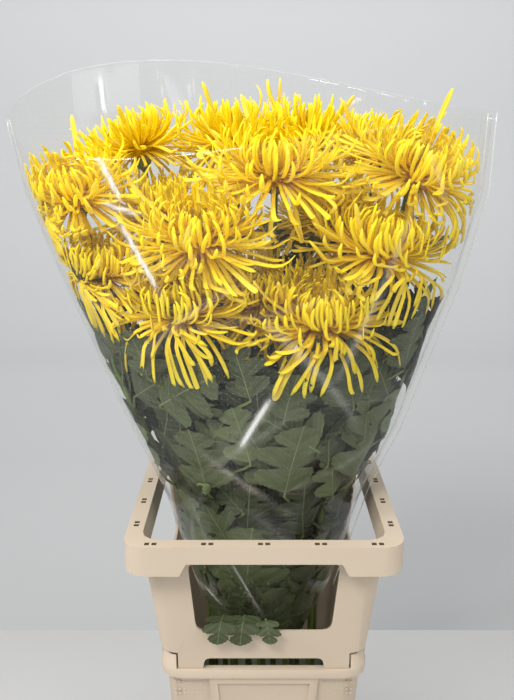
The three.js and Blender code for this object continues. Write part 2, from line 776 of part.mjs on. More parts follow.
const bouquet = new THREE.Group();
const stems = HEADS.map((head) => new Stem(head));
const blooms = HEADS.map((_, i) => makeHead(i, stems));
const leaves = planLeaves(stems, blooms);
bouquet.add(meshOf("bucket", makeBucket(), MATERIALS.crate));
bouquet.add(meshOf("collar", makeCollar(), MATERIALS.crate));
bouquet.add(meshOf("water", makeWater(stems), MATERIALS.water));
bouquet.add(meshOf("sleeve", makeSleeve(), MATERIALS.film));
HEADS.forEach((head, i) => {
  const number = String(i + 1).padStart(2, "0");
  bouquet.add(meshOf(`stem_${number}`, makeLeafyStem(i, stems, leaves), MATERIALS.leaf));
  bouquet.add(meshOf(`bloom_${number}`, blooms[i], MATERIALS.petal));
  bouquet.add(meshOf(`eye_${number}`, makeEye(head), MATERIALS.eye));
});

export default bouquet;
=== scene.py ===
import math

import bmesh
import bpy
import numpy as np
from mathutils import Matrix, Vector


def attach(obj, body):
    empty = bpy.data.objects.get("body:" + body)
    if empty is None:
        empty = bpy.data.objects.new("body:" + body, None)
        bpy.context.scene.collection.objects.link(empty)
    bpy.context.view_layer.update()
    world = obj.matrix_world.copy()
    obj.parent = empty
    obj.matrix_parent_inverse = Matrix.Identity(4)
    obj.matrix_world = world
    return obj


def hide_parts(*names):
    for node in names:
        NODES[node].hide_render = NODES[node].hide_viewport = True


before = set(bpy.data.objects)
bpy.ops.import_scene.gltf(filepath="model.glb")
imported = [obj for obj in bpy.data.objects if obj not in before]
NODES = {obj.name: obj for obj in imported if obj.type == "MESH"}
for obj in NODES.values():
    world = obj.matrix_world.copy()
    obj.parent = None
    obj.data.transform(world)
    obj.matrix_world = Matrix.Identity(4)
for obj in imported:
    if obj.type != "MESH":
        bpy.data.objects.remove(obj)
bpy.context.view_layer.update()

# Lengths below are in millimetres; meshes are made in metres.
MM = 0.001
TURN = 2 * math.pi
seeded = np.random.RandomState

# Film: height, half width, half depth and sideways shift.
SLEEVE = np.array(
    [
        [268, 76, 86, 0],
        [396, 115, 113, 0],
        [474, 151, 128, 0],
        [634, 211, 153, -4],
        [730, 241, 165, -10],
        [800, 250, 169, -16],
        [880, 252, 170, -17],
    ],
    float,
)
RIM_MEAN, RIM_BACK, RIM_WAVE, RIM_TURN = 818, 46, 18, math.radians(125)

# Heads: middle of the core, facing, where the stem crosses the waist, size.
HEADS = [
    ([-198, -30, 727], [-0.25, -0.48, 0.84], [-66, 6], 1.0),
    ([-145, 80, 774], [-0.3, 0.1, 0.95], [-50, 42], 0.92),
    ([-115, 35, 706], [-0.1, -0.2, 0.97], [-38, 14], 0.9),
    ([12, -45, 752], [0.02, -0.36, 0.93], [0, -12], 1.12),
    ([-35, 85, 781], [-0.1, 0.2, 0.97], [-20, 44], 1.0),
    ([52, 100, 782], [0.1, 0.3, 0.95], [14, 52], 0.95),
    ([158, -40, 750], [0.3, -0.46, 0.84], [36, -8], 1.08),
    ([132, 62, 766], [0.2, 0.1, 0.97], [64, 8], 0.9),
    ([117, -75, 674], [0.2, -0.18, 0.96], [56, -36], 1.08),
    ([88, 35, 700], [0.1, -0.1, 0.99], [14, 18], 0.9),
    ([-64, -88, 688], [-0.08, -0.5, 0.86], [-34, -24], 1.06),
    ([-169, -54, 650], [0.1, -0.3, 0.94], [-58, -30], 0.86),
    ([-80, -98, 618], [-0.15, -0.34, 0.93], [-36, -54], 1.0),
    ([-2, -58, 625], [0, -0.4, 0.92], [-4, -46], 0.94),
    ([56, -96, 609], [0.05, -0.42, 0.9], [26, -58], 1.04),
    ([-82, 100, 668], [-0.2, 0.55, 0.82], [-18, 72], 0.92),
    ([80, 104, 674], [0.2, 0.5, 0.84], [46, 42], 0.92),
]
FRINGE = 11
BODY_TIPS = 3
LONG_PETALS = [
    (3, (18, 4), (20, 62), 76),
    (4, (20, -5), (0, -52), 94),
]
CALYX_DROP, CALYX_HEIGHT = 13.3, 12
STEM_RADIUS, STEM_WAIST, STEM_LEAN, STEM_FOOT = 3.2, 262, 0.92, 4.3
LEAF_LENGTH = 104
LEAF_RINGS = [(300, 7, 3.6), (362, 9, 17), (424, 9, 3.6), (486, 10, 17), (548, 11, 3.6)]


def unit(v):
    v = np.asarray(v, float)
    return v / np.maximum(np.linalg.norm(v, axis=-1, keepdims=True), 1e-9)


def drawer(seed):
    state = [seed]

    def draw():
        state[0] = state[0] * 16807 % 2147483647
        return state[0] / 2147483647

    return draw


def sleeve_at(z):
    z = np.asarray(z, float)
    i = np.clip(np.searchsorted(SLEEVE[:, 0], z) - 1, 0, len(SLEEVE) - 2)
    share = (z - SLEEVE[i, 0]) / (SLEEVE[i + 1, 0] - SLEEVE[i, 0])
    at = SLEEVE[i] + (SLEEVE[i + 1] - SLEEVE[i]) * share[..., None]
    return at[..., 1], at[..., 2], at[..., 3]


def on_sleeve(angle, z, depth):
    x, y, shift = sleeve_at(z)
    return np.stack(
        [
            shift + (x - depth) * np.cos(angle),
            (y - depth) * np.sin(angle),
            np.asarray(z, float) + 0 * angle,
        ],
        -1,
    )


def inside_film(points, margin):
    x, y, shift = sleeve_at(points[..., 2])
    out = np.hypot((points[..., 0] - shift) / (x - margin), points[..., 1] / (y - margin))
    out = np.maximum(out, 1)
    bent = points.copy()
    bent[..., 0] = shift + (points[..., 0] - shift) / out
    bent[..., 1] = points[..., 1] / out
    return bent


class Skin:
    """Gathers closed bodies of one piece and makes a mesh of them."""

    def __init__(self):
        self.points, self.quads, self.tris, self.marks, self.total = [], [], [], [], 0

    def add(self, points, quads=(), tris=(), marks=None):
        points = np.asarray(points, float).reshape(-1, 3)
        for faces, kept in ((quads, self.quads), (tris, self.tris)):
            if len(faces):
                kept.append(np.asarray(faces, np.int64) + self.total)
        self.points.append(points)
        if marks is None:
            marks = np.zeros((len(points), 3))
        self.marks.append(np.broadcast_to(np.asarray(marks, float), (len(points), 3)))
        self.total += len(points)

    def make(self, name, material, sharp=None):
        points = np.vstack(self.points) * MM
        quads = np.vstack(self.quads) if self.quads else np.zeros((0, 4), np.int64)
        tris = np.vstack(self.tris) if self.tris else np.zeros((0, 3), np.int64)
        mesh = bpy.data.meshes.new(name)
        mesh.vertices.add(len(points))
        mesh.vertices.foreach_set("co", points.ravel().astype(np.float32))
        corners = np.concatenate([quads.ravel(), tris.ravel()]).astype(np.int32)
        sizes = np.concatenate([np.full(len(quads), 4), np.full(len(tris), 3)])
        mesh.loops.add(len(corners))
        mesh.loops.foreach_set("vertex_index", corners)
        mesh.polygons.add(len(sizes))
        starts = np.concatenate([[0], np.cumsum(sizes)[:-1]]).astype(np.int32)
        mesh.polygons.foreach_set("loop_start", starts)
        mesh.update(calc_edges=True)
        marks = mesh.attributes.new("marks", "FLOAT_VECTOR", "POINT")
        marks.data.foreach_set("vector", np.vstack(self.marks).ravel().astype(np.float32))
        mesh.validate()
        mesh.shade_smooth()
        if sharp is not None:
            mesh.set_sharp_from_angle(angle=math.radians(sharp))
        mesh.materials.append(material)
        thing = bpy.data.objects.new(name, mesh)
        bpy.context.scene.collection.objects.link(thing)
        return thing


def settle(thing, slot, *nodes):
    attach(thing, "root")
    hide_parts(*nodes)


# Shaders


def shader(name):
    mat = bpy.data.materials.new(name)
    mat.use_nodes = True
    tree = mat.node_tree
    tree.nodes.clear()

    def node(kind, settings=None, **sockets):
        made = tree.nodes.new("ShaderNode" + kind)
        for key, value in (settings or {}).items():
            setattr(made, key, value)
        for key, value in sockets.items():
            name = key.replace("_", " ")
            socket = made.inputs[int(key[1:])] if key[1:].isdigit() else made.inputs[name]
            if isinstance(value, bpy.types.NodeSocket):
                tree.links.new(value, socket)
            else:
                socket.default_value = value
        return made

    return mat, node


def calc(node, operation, *values, clamp=False):
    sockets = {f"i{k}": v for k, v in enumerate(values)}
    return node("Math", {"operation": operation, "use_clamp": clamp}, **sockets).outputs[0]


def scaled(node, value, factor, plus, clamp=False):
    return calc(node, "MULTIPLY_ADD", value, factor, plus, clamp=clamp)


def mixed(node, factor, one, other, blend="MIX"):
    return node("MixRGB", {"blend_type": blend}, Fac=factor, Color1=one, Color2=other).outputs[0]


def marks_of(node):
    attribute = node("Attribute", {"attribute_name": "marks"})
    parts = node("SeparateXYZ", Vector=attribute.outputs["Vector"])
    return parts.outputs["X"], parts.outputs["Y"], parts.outputs["Z"]


def noise(node, scale, detail=3.0, place=None, roughness=0.5):
    where = place if place is not None else node("TexCoord").outputs["Object"]
    made = node("TexNoise", Vector=where, Scale=scale, Detail=detail, Roughness=roughness)
    return made.outputs[0]


def coat(node, base, rough, level=0.5, **more):
    gloss = node("BsdfPrincipled", Base_Color=base, Roughness=rough, **more)
    gloss.inputs["Specular IOR Level"].default_value = level
    return gloss.outputs[0]


def finished(mat, node, surface):
    node("OutputMaterial", Surface=surface)
    return mat


def petal_material():
    mat, node = shader("petal")
    along, pale, turn = marks_of(node)
    base = mixed(node, along, (0.95, 0.69, 0.005, 1), (1.0, 0.86, 0.016, 1))
    base = mixed(node, pale, base, (0.97, 0.81, 0.12, 1))
    patch = noise(node, 55.0, 2.0)
    light = scaled(node, patch, 0.24, 0.86)
    light = scaled(node, turn, 0.12, light)
    base = node("HueSaturation", Value=light, Color=base).outputs[0]
    through = node("BsdfTranslucent", Color=base).outputs[0]
    both = node("MixShader", Fac=0.38, i1=coat(node, base, 0.48, 0.3), i2=through)
    return finished(mat, node, both.outputs[0])


def eye_material():
    mat, node = shader("eye")
    along, _, turn = marks_of(node)
    base = mixed(node, along, (0.12, 0.17, 0.03, 1), (0.46, 0.44, 0.09, 1))
    light = scaled(node, turn, 0.4, 0.8)
    base = node("HueSaturation", Value=light, Color=base).outputs[0]
    return finished(mat, node, coat(node, base, 0.5))


def leaf_material():
    """Marks: sideways and lengthwise place in the blade as shares of its length, and a draw that sets
    brightness, with painted shade for inner and upper blades along the film. A lengthwise mark under -0.5 is
    a stem."""
    mat, node = shader("leaf")
    wide, long, turn = marks_of(node)
    wide = calc(node, "ABSOLUTE", wide)
    slant = scaled(node, wide, -0.7, long)
    slant = calc(node, "ADD", slant, 0.98)
    quilt = calc(node, "PINGPONG", slant, 0.085)
    side = calc(node, "SUBTRACT", 1.0, calc(node, "DIVIDE", quilt, 0.009), clamp=True)
    mid = calc(node, "SUBTRACT", 1.0, calc(node, "DIVIDE", wide, 0.012), clamp=True)
    vein = scaled(node, side, 0.45, mid, clamp=True)
    patch = noise(node, 40.0, 4.0)
    base = mixed(node, patch, (0.044, 0.062, 0.020, 1), (0.096, 0.122, 0.042, 1))
    # The third mark sets brightness: a random tone, with painted shade on inner and upper blades.
    light = scaled(node, turn, 0.92, 0.32)
    base = node("HueSaturation", Saturation=0.9, Value=light, Color=base).outputs[0]
    base = mixed(node, calc(node, "MULTIPLY", vein, 0.6), base, (0.21, 0.26, 0.12, 1))
    stem = calc(node, "LESS_THAN", long, -0.5)
    base = mixed(node, stem, base, (0.125, 0.17, 0.04, 1))
    fine = noise(node, 420.0, 3.0)
    height = scaled(node, vein, -0.6, calc(node, "MULTIPLY", fine, 0.25))
    height = scaled(node, quilt, 14.0, height)
    bump = node("Bump", Strength=0.42, Distance=0.0010, Height=height)
    return finished(mat, node, coat(node, base, 0.62, 0.35, Normal=bump.outputs[0]))


def stepped(node, value, low, high):
    """0 under low, 1 over high."""
    ramp = node("ValToRGB", Fac=value)
    ramp.color_ramp.elements[0].position = low
    ramp.color_ramp.elements[1].position = high
    return ramp.outputs[0]


def crate_material():
    mat, node = shader("crate")
    broad = noise(node, 9.0, 4.0)
    base = mixed(node, broad, (0.51, 0.42, 0.32, 1), (0.57, 0.475, 0.365, 1))
    specks = noise(node, 260.0, 2.0, roughness=0.6)
    speck = calc(node, "MULTIPLY", stepped(node, specks, 0.70, 0.76), 0.35)
    base = mixed(node, speck, base, (0.33, 0.25, 0.18, 1))
    stretch = node("Mapping", Vector=node("TexCoord").outputs["Object"], Scale=(4.0, 4.0, 40.0))
    rubs = stepped(node, noise(node, 6.0, 5.0, stretch.outputs[0], 0.65), 0.56, 0.74)
    base = mixed(node, calc(node, "MULTIPLY", rubs, 0.16), base, (0.50, 0.39, 0.28, 1))
    fine = noise(node, 700.0, 2.0)
    bump = node("Bump", Strength=0.15, Distance=0.0004, Height=fine)
    return finished(mat, node, coat(node, base, 0.5, 0.4, Normal=bump.outputs[0]))


# The film's fine holes: distance apart and radius.
DOT_STEP, DOT_RADIUS = 6.0, 0.5
# Crease marks over this are painted white highlights.
PAINTED_GLINT_FROM = 0.9


def film_material():
    """Marks: distance round the film, height, and how sharply it is creased; past 0.9 the third mark is a
    painted white highlight.
    """
    mat, node = shader("film")
    around, height, crease = marks_of(node)
    here = node("CombineXYZ", X=around, Y=height, Z=0.0).outputs[0]
    a, b = (scaled(node, calc(node, "PINGPONG", way, DOT_STEP), 1, -DOT_STEP / 2) for way in (around, height))
    square = scaled(node, a, a, calc(node, "MULTIPLY", b, b))
    dot = calc(node, "LESS_THAN", square, DOT_RADIUS**2)
    soft = noise(node, 0.018, 3.0, here)
    fine = noise(node, 0.09, 3.0, here)
    rise = scaled(node, fine, 0.35, soft)
    bump = node("Bump", Strength=0.4, Distance=0.0006, Height=rise).outputs[0]
    clear = node("BsdfTransparent", Color=(0.988, 0.99, 0.986, 1))
    shine = node("BsdfGlossy", Color=(1, 1, 1, 1), Roughness=0.11, Normal=bump)
    haze = node("BsdfDiffuse", Color=(0.86, 0.86, 0.85, 1))
    facing = node("LayerWeight", Blend=0.5, Normal=bump).outputs["Facing"]
    steep = calc(node, "POWER", facing, 4.0)
    shown = scaled(node, steep, 0.55, 0.022)
    ridge = calc(node, "MINIMUM", crease, 1.0)
    shown = scaled(node, ridge, 0.12, shown, clamp=True)
    # Only the side that a ray meets first reflects, so none is caught inside the thin film.
    met = calc(node, "SUBTRACT", 1.0, node("NewGeometry").outputs["Backfacing"])
    shown = calc(node, "MULTIPLY", shown, met)
    # White haze over the clear film: its fine holes, its whitened creases, and the painted highlights below.
    haze_and_painted_highlight = scaled(node, dot, 0.12, 0.003)
    haze_and_painted_highlight = scaled(node, crease, 0.03, haze_and_painted_highlight, clamp=True)
    # Marks over this are painted highlights: white haze along the sharp folds and the welds' edges.
    painted_glint = calc(node, "SUBTRACT", crease, PAINTED_GLINT_FROM, clamp=True)
    haze_and_painted_highlight = scaled(node, painted_glint, 0.8, haze_and_painted_highlight, clamp=True)
    body = node("MixShader", Fac=haze_and_painted_highlight, i1=clear.outputs[0], i2=haze.outputs[0])
    both = node("MixShader", Fac=shown, i1=body.outputs[0], i2=shine.outputs[0])
    return finished(mat, node, both.outputs[0])


def plain_material(name, colour, rough, **more):
    mat, node = shader(name)
    return finished(mat, node, coat(node, colour, rough, **more))


PETAL, EYE, LEAF = petal_material(), eye_material(), leaf_material()
CRATE, FILM = crate_material(), film_material()
WATER = plain_material("water", (0.30, 0.36, 0.26, 1), 0.05, Alpha=0.6)
# The drain holes' walls: a dark brown that is painted shade inside the holes.
DRAIN_PAINTED_SHADE = plain_material("drain", (0.13, 0.085, 0.05, 1), 0.8)


# Petals


def strips(skin, line, side, half, cup, thick, marks):
    """Closed channels of six points round, one for each row of line."""
    rows, steps = line.shape[:2]
    along = unit(np.gradient(line, axis=1))
    side = unit(side - along * (side * along).sum(-1, keepdims=True))
    up = np.cross(along, side)
    half, cup, thick = half[..., None], cup[..., None], thick[..., None]
    low = 0.2 * cup
    spots = [(-1, cup), (-0.5, low), (0.5, low), (1, cup), (0.56, low - thick), (-0.56, low - thick)]
    ring = np.stack([line + side * half * share + up * lift for share, lift in spots], 2)
    base = (np.arange(rows)[:, None, None] * steps + np.arange(steps - 1)[None, :, None]) * 6
    k = np.arange(6)[None, None, :]
    nextk = (k + 1) % 6
    quads = np.stack([base + k, base + 6 + k, base + 6 + nextk, base + nextk], -1).reshape(-1, 4)
    first = np.arange(rows)[:, None] * steps * 6
    last = first + (steps - 1) * 6
    caps = [first + [1, 2, 4, 5], last + [5, 4, 2, 1]]
    ends = [first + [0, 1, 5], first + [2, 3, 4], last + [5, 1, 0], last + [4, 3, 2]]
    marks = np.repeat(marks[:, :, None, :], 6, 2).reshape(-1, 3)
    skin.add(ring, np.vstack([quads] + caps), np.vstack(ends), marks)


# Layers from the eye out: count, root radius and height, rise at root and tip, hook, length, width, steps.
PETAL_LAYERS = [
    (20, 8.5, 9, 52, 118, 0, 17, 3.0, 6),
    (26, 11, 8, 42, 140, 20, 28, 3.4, 6),
    (30, 13, 6, 28, 132, 30, 40, 3.8, 7),
    (34, 15, 3, 14, 112, 45, 50, 4.2, 8),
    (34, 16, 1, 4, 78, 55, 60, 4.4, 9),
    (30, 17, -2, -2, 38, 60, 70, 4.6, 9),
    (26, 17, -5, -8, -2, 40, 82, 4.9, 10),
    (22, 16, -8, -22, -58, 0, 74, 5.0, 10),
]


def head_frame(index):
    core, facing, _, size = HEADS[index]
    axis = unit(facing)
    side = unit(np.cross([0, 1, 0], axis))
    return np.array(core, float), axis, side, np.cross(axis, side), size


def confined(points, index, room, wall):
    core = np.array(HEADS[index][0], float)
    for _ in range(5):
        for j, other in enumerate(HEADS):
            if j == index:
                continue
            apart = np.array(other[0], float) - core
            normal = unit(apart)
            over = (points - (core + apart / 2)) @ normal - room
            points = points - np.maximum(over, 0)[..., None] * normal
        points[..., 2] = np.maximum(points[..., 2], core[2] - 74)
        points = inside_film(points, wall)
    return points


def smoothed(line, passes=2):
    line = line.copy()
    for _ in range(passes):
        line[:, 1:-1] = 0.5 * line[:, 1:-1] + 0.25 * (line[:, :-2] + line[:, 2:])
    return line


def spoon(share, width, tube):
    """Half width and cup of a petal along it: narrow and rolled at first, flatter and wider near its tip."""
    grow = np.interp(share, [0, 0.12, 0.55, 0.86, 0.95, 1], [0.5, 0.72, 0.82, 1.0, 0.8, 0.3])
    half = 0.5 * width * grow
    flat = np.interp(share, [0.5, 0.9], [0, 1])
    cup = half * (tube * (1 - flat) + 0.47 * flat)
    return half, cup


def turned(angle, one, other):
    """One way turned towards the other by each angle."""
    return np.cos(angle)[..., None] * one + np.sin(angle)[..., None] * other


def add_petals(skin, index):
    core, axis, side, other, size = head_frame(index)
    rng = seeded(700 + index)
    for layer, (count, radius, height, low, high, hook, length, width, steps) in enumerate(PETAL_LAYERS):
        turn = (np.arange(count) + 0.8 * (rng.rand(count) - 0.5) + rng.rand()) / count * TURN
        share = ((np.arange(steps) + 0.5) / steps)[None, :]
        low_k = low + rng.normal(0, 7, count)[:, None]
        high_k = high + rng.normal(0, 14, count)[:, None]
        tip = np.clip((share - 0.68) / 0.32, 0, 1)
        curl = hook * rng.uniform(-0.3, 1.6, count)[:, None]
        rise = np.radians(low_k + (high_k - low_k) * share ** 1.15 + curl * tip)
        sway = np.radians(rng.normal(0, 14, count))[:, None]
        bend = np.radians(rng.normal(0, 26, count))[:, None]
        around = turn[:, None] + sway * share**1.5 + bend * tip
        step = turned(rise, turned(around, side, other), axis)
        if layer > 4:
            step = unit(step - np.array([0, 0, 0.22]) * (share**2)[..., None])
        grown = size * length * (0.84 + 0.3 * rng.rand(count))
        root = (radius + rng.normal(0, 1, count)) * size
        level = axis * (height + rng.normal(0, 1.2, count))[:, None]
        start = core + turned(turn, side, other) * root[:, None] + level
        way = np.cumsum(step, 1) * (grown / steps)[:, None, None]
        line = np.concatenate([start[:, None], start[:, None] + way], 1)
        room = rng.uniform(3, 17, count)[:, None]
        line = smoothed(confined(line, index, room, 5.5), 1)
        full = np.linspace(0, 1, steps + 1)[None, :] * np.ones((count, 1))
        across = np.cross(axis, unit(line - core - axis * ((line - core) @ axis)[..., None]))
        across = unit(across + 1e-6)
        twist = rng.normal(0, 0.35, count)[:, None, None] * full[..., None]
        ahead = unit(np.gradient(line, axis=1))
        across = across * np.cos(twist) + np.cross(ahead, across) * np.sin(twist)
        tube = rng.uniform(0.45, 0.95, count)[:, None]
        half, cup = spoon(full, width * size * (0.85 + 0.3 * rng.rand(count))[:, None], tube)
        thick = 0.75 * np.interp(full, [0, 0.8, 1], [1, 0.8, 0.5])
        pale = np.clip((layer - 4) * 0.16 + rng.normal(0, 0.16, count), 0, 0.9)[:, None]
        deep = np.clip(0.15 + 0.95 * full - 0.10 * (layer < 3), 0, 1)
        marks = np.stack([deep, pale * full**0.5, rng.rand(count)[:, None] + 0 * full], -1)
        strips(skin, line, across, half, cup, thick, marks)


def add_long_petals(skin, index):
    core, axis, side, other, size = head_frame(index)
    draw = drawer(101 + 37 * index)
    for _ in range(1 + FRINGE * BODY_TIPS * 2):
        draw()
    rng = seeded(900 + index)
    for count, (root, height), (low, high), length in LONG_PETALS:
        first = draw() * TURN
        lines, sides = [], []
        for k in range(count):
            turn = first + (k + 0.6 * (draw() - 0.5)) / count * TURN
            grown = length * size * (0.86 + 0.24 * draw())
            lift = 20 * (draw() - 0.5)
            out = side * math.cos(turn) + other * math.sin(turn)
            share = (np.arange(12) + 0.5) / 12
            rise = np.radians(low + (high - low) * share + lift)
            step = turned(rise, out, axis)
            start = core + out * root + axis * height
            lines.append(np.vstack([start, start + np.cumsum(step, 0) * grown / 12]))
            sides.append(np.tile(np.cross(axis, out), (13, 1)))
        line = smoothed(confined(np.array(lines), index, np.full((count, 1), 8.0), 7), 2)
        full = np.linspace(0, 1, 13)[None, :] * np.ones((count, 1))
        half, cup = spoon(full, 6.0, 0.7)
        marks = np.stack([0.2 + 0.8 * full, 0.35 + 0.5 * full, rng.rand(count)[:, None] + 0 * full], -1)
        strips(skin, line, np.array(sides), half, cup, 0 * full + 0.9, marks)


def add_core(skin, index):
    """The green-gold base that the petals grow from."""
    core, axis, side, other, size = head_frame(index)
    profile = [(0, -13), (9, -13), (14, -11), (17, -6), (17.5, -1), (15, 4), (11, 8), (7, 11), (0, 12)]
    out = circle(16, side, other)
    rings = [core + axis * h + out * max(r * size, 0.01) for r, h in profile]
    lathe_faces(skin, rings, (0.0, 0.0, 0.5))


def circle(count, side, other):
    return turned(np.arange(count) / count * TURN, side, other)


def belts(rows, count):
    """Quads between closed rings of points, one ring after the other."""
    i = np.arange(rows - 1)[:, None] * count
    k = np.arange(count)[None, :]
    nextk = (k + 1) % count
    return np.stack([i + k, i + nextk, i + count + nextk, i + count + k], -1).reshape(-1, 4)


def lathe_faces(skin, rings, marks):
    """Skins rings of equal counts and closes both ends with a fan round their middles."""
    count = len(rings[0])
    points = np.vstack(rings + [np.mean(rings[0], 0)[None], np.mean(rings[-1], 0)[None]])
    k = np.arange(count)
    nextk = (k + 1) % count
    low, high = len(rings) * count, len(rings) * count + 1
    top = (len(rings) - 1) * count
    foot = np.stack([low + 0 * k, nextk, k], -1)
    head = np.stack([high + 0 * k, top + k, top + nextk], -1)
    skin.add(points, belts(len(rings), count), np.vstack([foot, head]), marks)


def numbered(name, index):
    return f"{name}_{index + 1:02d}"


def make_bloom(index):
    skin = Skin()
    add_core(skin, index)
    add_petals(skin, index)
    add_long_petals(skin, index)
    settle(skin.make(numbered("flower", index), PETAL), "petal", numbered("bloom", index))


EYE_RADIUS, EYE_TUBES = 8.2, 64
GOLDEN_ANGLE = 2.39996


def make_eye(index):
    """Tiny tubes set in a spiral."""
    core, axis, side, other, _ = head_frame(index)
    rng = seeded(300 + index)
    skin = Skin()
    tris = [[0, 2, 1], [0, 3, 2], [0, 4, 3], [15, 16, 17], [15, 17, 18], [15, 18, 19]]
    shade = np.repeat([0.0, 0.45, 0.8, 1.0], 5)
    for k in range(EYE_TUBES):
        radius = EYE_RADIUS * math.sqrt((k + 0.5) / EYE_TUBES)
        turn = k * GOLDEN_ANGLE + 0.3 * rng.rand()
        out = side * math.cos(turn) + other * math.sin(turn)
        base = core + axis * 10.5 + out * radius
        tall = 5.5 + 3.5 * (1 - (radius / EYE_RADIUS) ** 2) + rng.normal(0, 0.7)
        lean = unit(axis + out * (0.25 - 0.055 * radius) + rng.normal(0, 0.1, 3))
        first = unit(np.cross(lean, [0.3, 1, 0.1]))
        second = np.cross(lean, first)
        ring = circle(5, first, second)
        sizes = ((0.75, 0), (1.0, 0.55), (0.9, 0.85), (0.35, 1.0))
        rings = [base + ring * r + lean * tall * h for r, h in sizes]
        marks = np.stack([shade * (0.4 + 0.6 * radius / EYE_RADIUS), 0 * shade, 0 * shade + rng.rand()], -1)
        skin.add(np.vstack(rings), belts(4, 5), tris, marks)
    settle(skin.make(numbered("disc", index), EYE), "eye", numbered("eye", index))


# Stems


def bezier(a, b, c, d, steps):
    t = np.linspace(0, 1, steps)[:, None]
    return a * (1 - t) ** 3 + 3 * b * t * (1 - t) ** 2 + 3 * c * t * t * (1 - t) + d * t**3


def stem_parts(index):
    core, axis, _, _, _ = head_frame(index)
    x, y = HEADS[index][2]
    foot = np.array([x * STEM_LEAN, y * STEM_LEAN, STEM_FOOT])
    waist = np.array([x, y, STEM_WAIST], float)
    neck = core - axis * (CALYX_DROP + CALYX_HEIGHT)
    reach = 0.36 * np.linalg.norm(neck - waist)
    up = unit(waist - foot)
    turn = unit(axis + [0, 0, 1])
    return foot, [waist, waist + up * reach, neck - turn * reach, neck]


def stem_line(index, steps=22):
    foot, bends = stem_parts(index)
    lower = foot + (bends[0] - foot) * np.linspace(0, 1, 5)[:-1, None]
    return np.vstack([lower, bezier(*bends, steps)])


LINES = [stem_line(i) for i in range(len(HEADS))]


def at_height(index, z):
    line = LINES[index]
    return np.array([np.interp(z, line[:, 2], line[:, 0]), np.interp(z, line[:, 2], line[:, 1]), z])


def add_tube(skin, line, radii, sides, marks):
    along = unit(np.gradient(line, axis=0))
    side = unit(np.cross([0.05, 1, 0.02], along))
    other = np.cross(along, side)
    angle = np.arange(sides) / sides * TURN
    rings = [
        line[i] + radii[i] * (np.cos(angle)[:, None] * side[i] + np.sin(angle)[:, None] * other[i])
        for i in range(len(line))
    ]
    lathe_faces(skin, rings, marks)


# Half of a blade's outline: share of the length, and distance from the midrib over the length.
BLADE = np.array(
    [
        [0.00, 0.012], [0.06, 0.018], [0.10, 0.055], [0.12, 0.13], [0.125, 0.22], [0.165, 0.25],
        [0.16, 0.31], [0.205, 0.345], [0.22, 0.39], [0.27, 0.385], [0.30, 0.41], [0.34, 0.37],
        [0.372, 0.345], [0.375, 0.265], [0.395, 0.17], [0.41, 0.10], [0.445, 0.17], [0.46, 0.27],
        [0.505, 0.32], [0.515, 0.385], [0.565, 0.39], [0.59, 0.435], [0.635, 0.42], [0.67, 0.40],
        [0.68, 0.325], [0.71, 0.30], [0.70, 0.21], [0.70, 0.11], [0.75, 0.16], [0.775, 0.24],
        [0.82, 0.245], [0.85, 0.268], [0.88, 0.215], [0.915, 0.213], [0.93, 0.15], [0.962, 0.128],
        [0.975, 0.06], [1.0, 0.004],
    ]
)
ROUGH_POINTS = [*range(0, 15, 2), *range(15, 38, 2)]


def blade_grid(outline):
    """Places (sideways, lengthwise) of a whole blade, in columns from one edge to the other."""
    v, u = outline[:, 0], outline[:, 1]
    mid = np.maximum.accumulate(v - 0.72 * u) + 0.0004 * np.arange(len(v))
    mid = np.clip(mid, 0, None)
    columns = []
    for f in (-1, -0.55, 0, 0.55, 1):
        columns.append(np.stack([f * u, mid + (v - mid) * abs(f) ** 0.9], -1))
    return np.array(columns)


FINE_GRID, ROUGH_GRID = blade_grid(BLADE), blade_grid(BLADE[ROUGH_POINTS])


def add_blade(skin, place, grid, widen, draw, thick=0.5):
    """place(sideways, lengthwise, height) gives the point for shares of the blade's length."""
    columns, rows = grid.shape[:2]
    u, v = grid[..., 0] * widen, grid[..., 1]
    top = place(u, v, 0.5 * thick)
    bottom = place(u, v, -0.5 * thick)
    points = np.concatenate([top.reshape(-1, 3), bottom.reshape(-1, 3)])
    count = columns * rows
    c = np.arange(columns - 1)[:, None] * rows
    r = np.arange(rows - 1)[None, :]
    up = np.stack([c + r, c + rows + r, c + rows + r + 1, c + r + 1], -1).reshape(-1, 4)
    faces = [up, up[:, ::-1] + count]
    r = np.arange(rows - 1)
    left = np.stack([r, r + 1, r + 1 + count, r + count], -1)
    last = (columns - 1) * rows
    right = np.stack([last + r + 1, last + r, last + r + count, last + r + 1 + count], -1)
    c = np.arange(columns - 1) * rows
    low = np.stack([c + rows, c, c + count, c + rows + count], -1)
    end = rows - 1
    high = np.stack([c + end, c + rows + end, c + rows + end + count, c + end + count], -1)
    marks = np.stack([grid[..., 0].ravel(), grid[..., 1].ravel(), np.full(count, draw)], -1)
    skin.add(points, np.vstack(faces + [left, right, low, high]), (), np.vstack([marks, marks]))


def phases(rng):
    return seeded(rng.randint(1 << 30)).uniform(0, TURN, 3)


def ripple(u, v, waves):
    """A gently waved blade: lobes cup and the edges roll."""
    a, b, c = waves
    wave = 0.022 * np.sin(9 * v + a) * np.abs(u) / 0.3 + 0.018 * np.sin(14 * v + 6 * u + b)
    return wave * (0.3 + np.abs(u) * 2) + 0.012 * np.sin(5 * v + c)


def add_stalk(skin, start, end, draw, thick=1.3):
    t = np.linspace(0, 1, 6)[:, None]
    sag = np.array([0, 0, -1.0]) * 0.10 * np.linalg.norm(end - start)
    line = start + (end - start) * t + sag * np.sin(math.pi * t)
    add_tube(skin, line, np.linspace(1.6, thick, 6), 5, (0.3, -1.0, draw))


# Blades closer to the film than this are pressed flat. Inner and upper ones are painted darker, as painted
# shade deep in the bunch and under the heads.
PRESSED_FROM, INNER_DEPTH, UPPER_HEIGHT = 5, 9, 480
STALK_DROP = 22


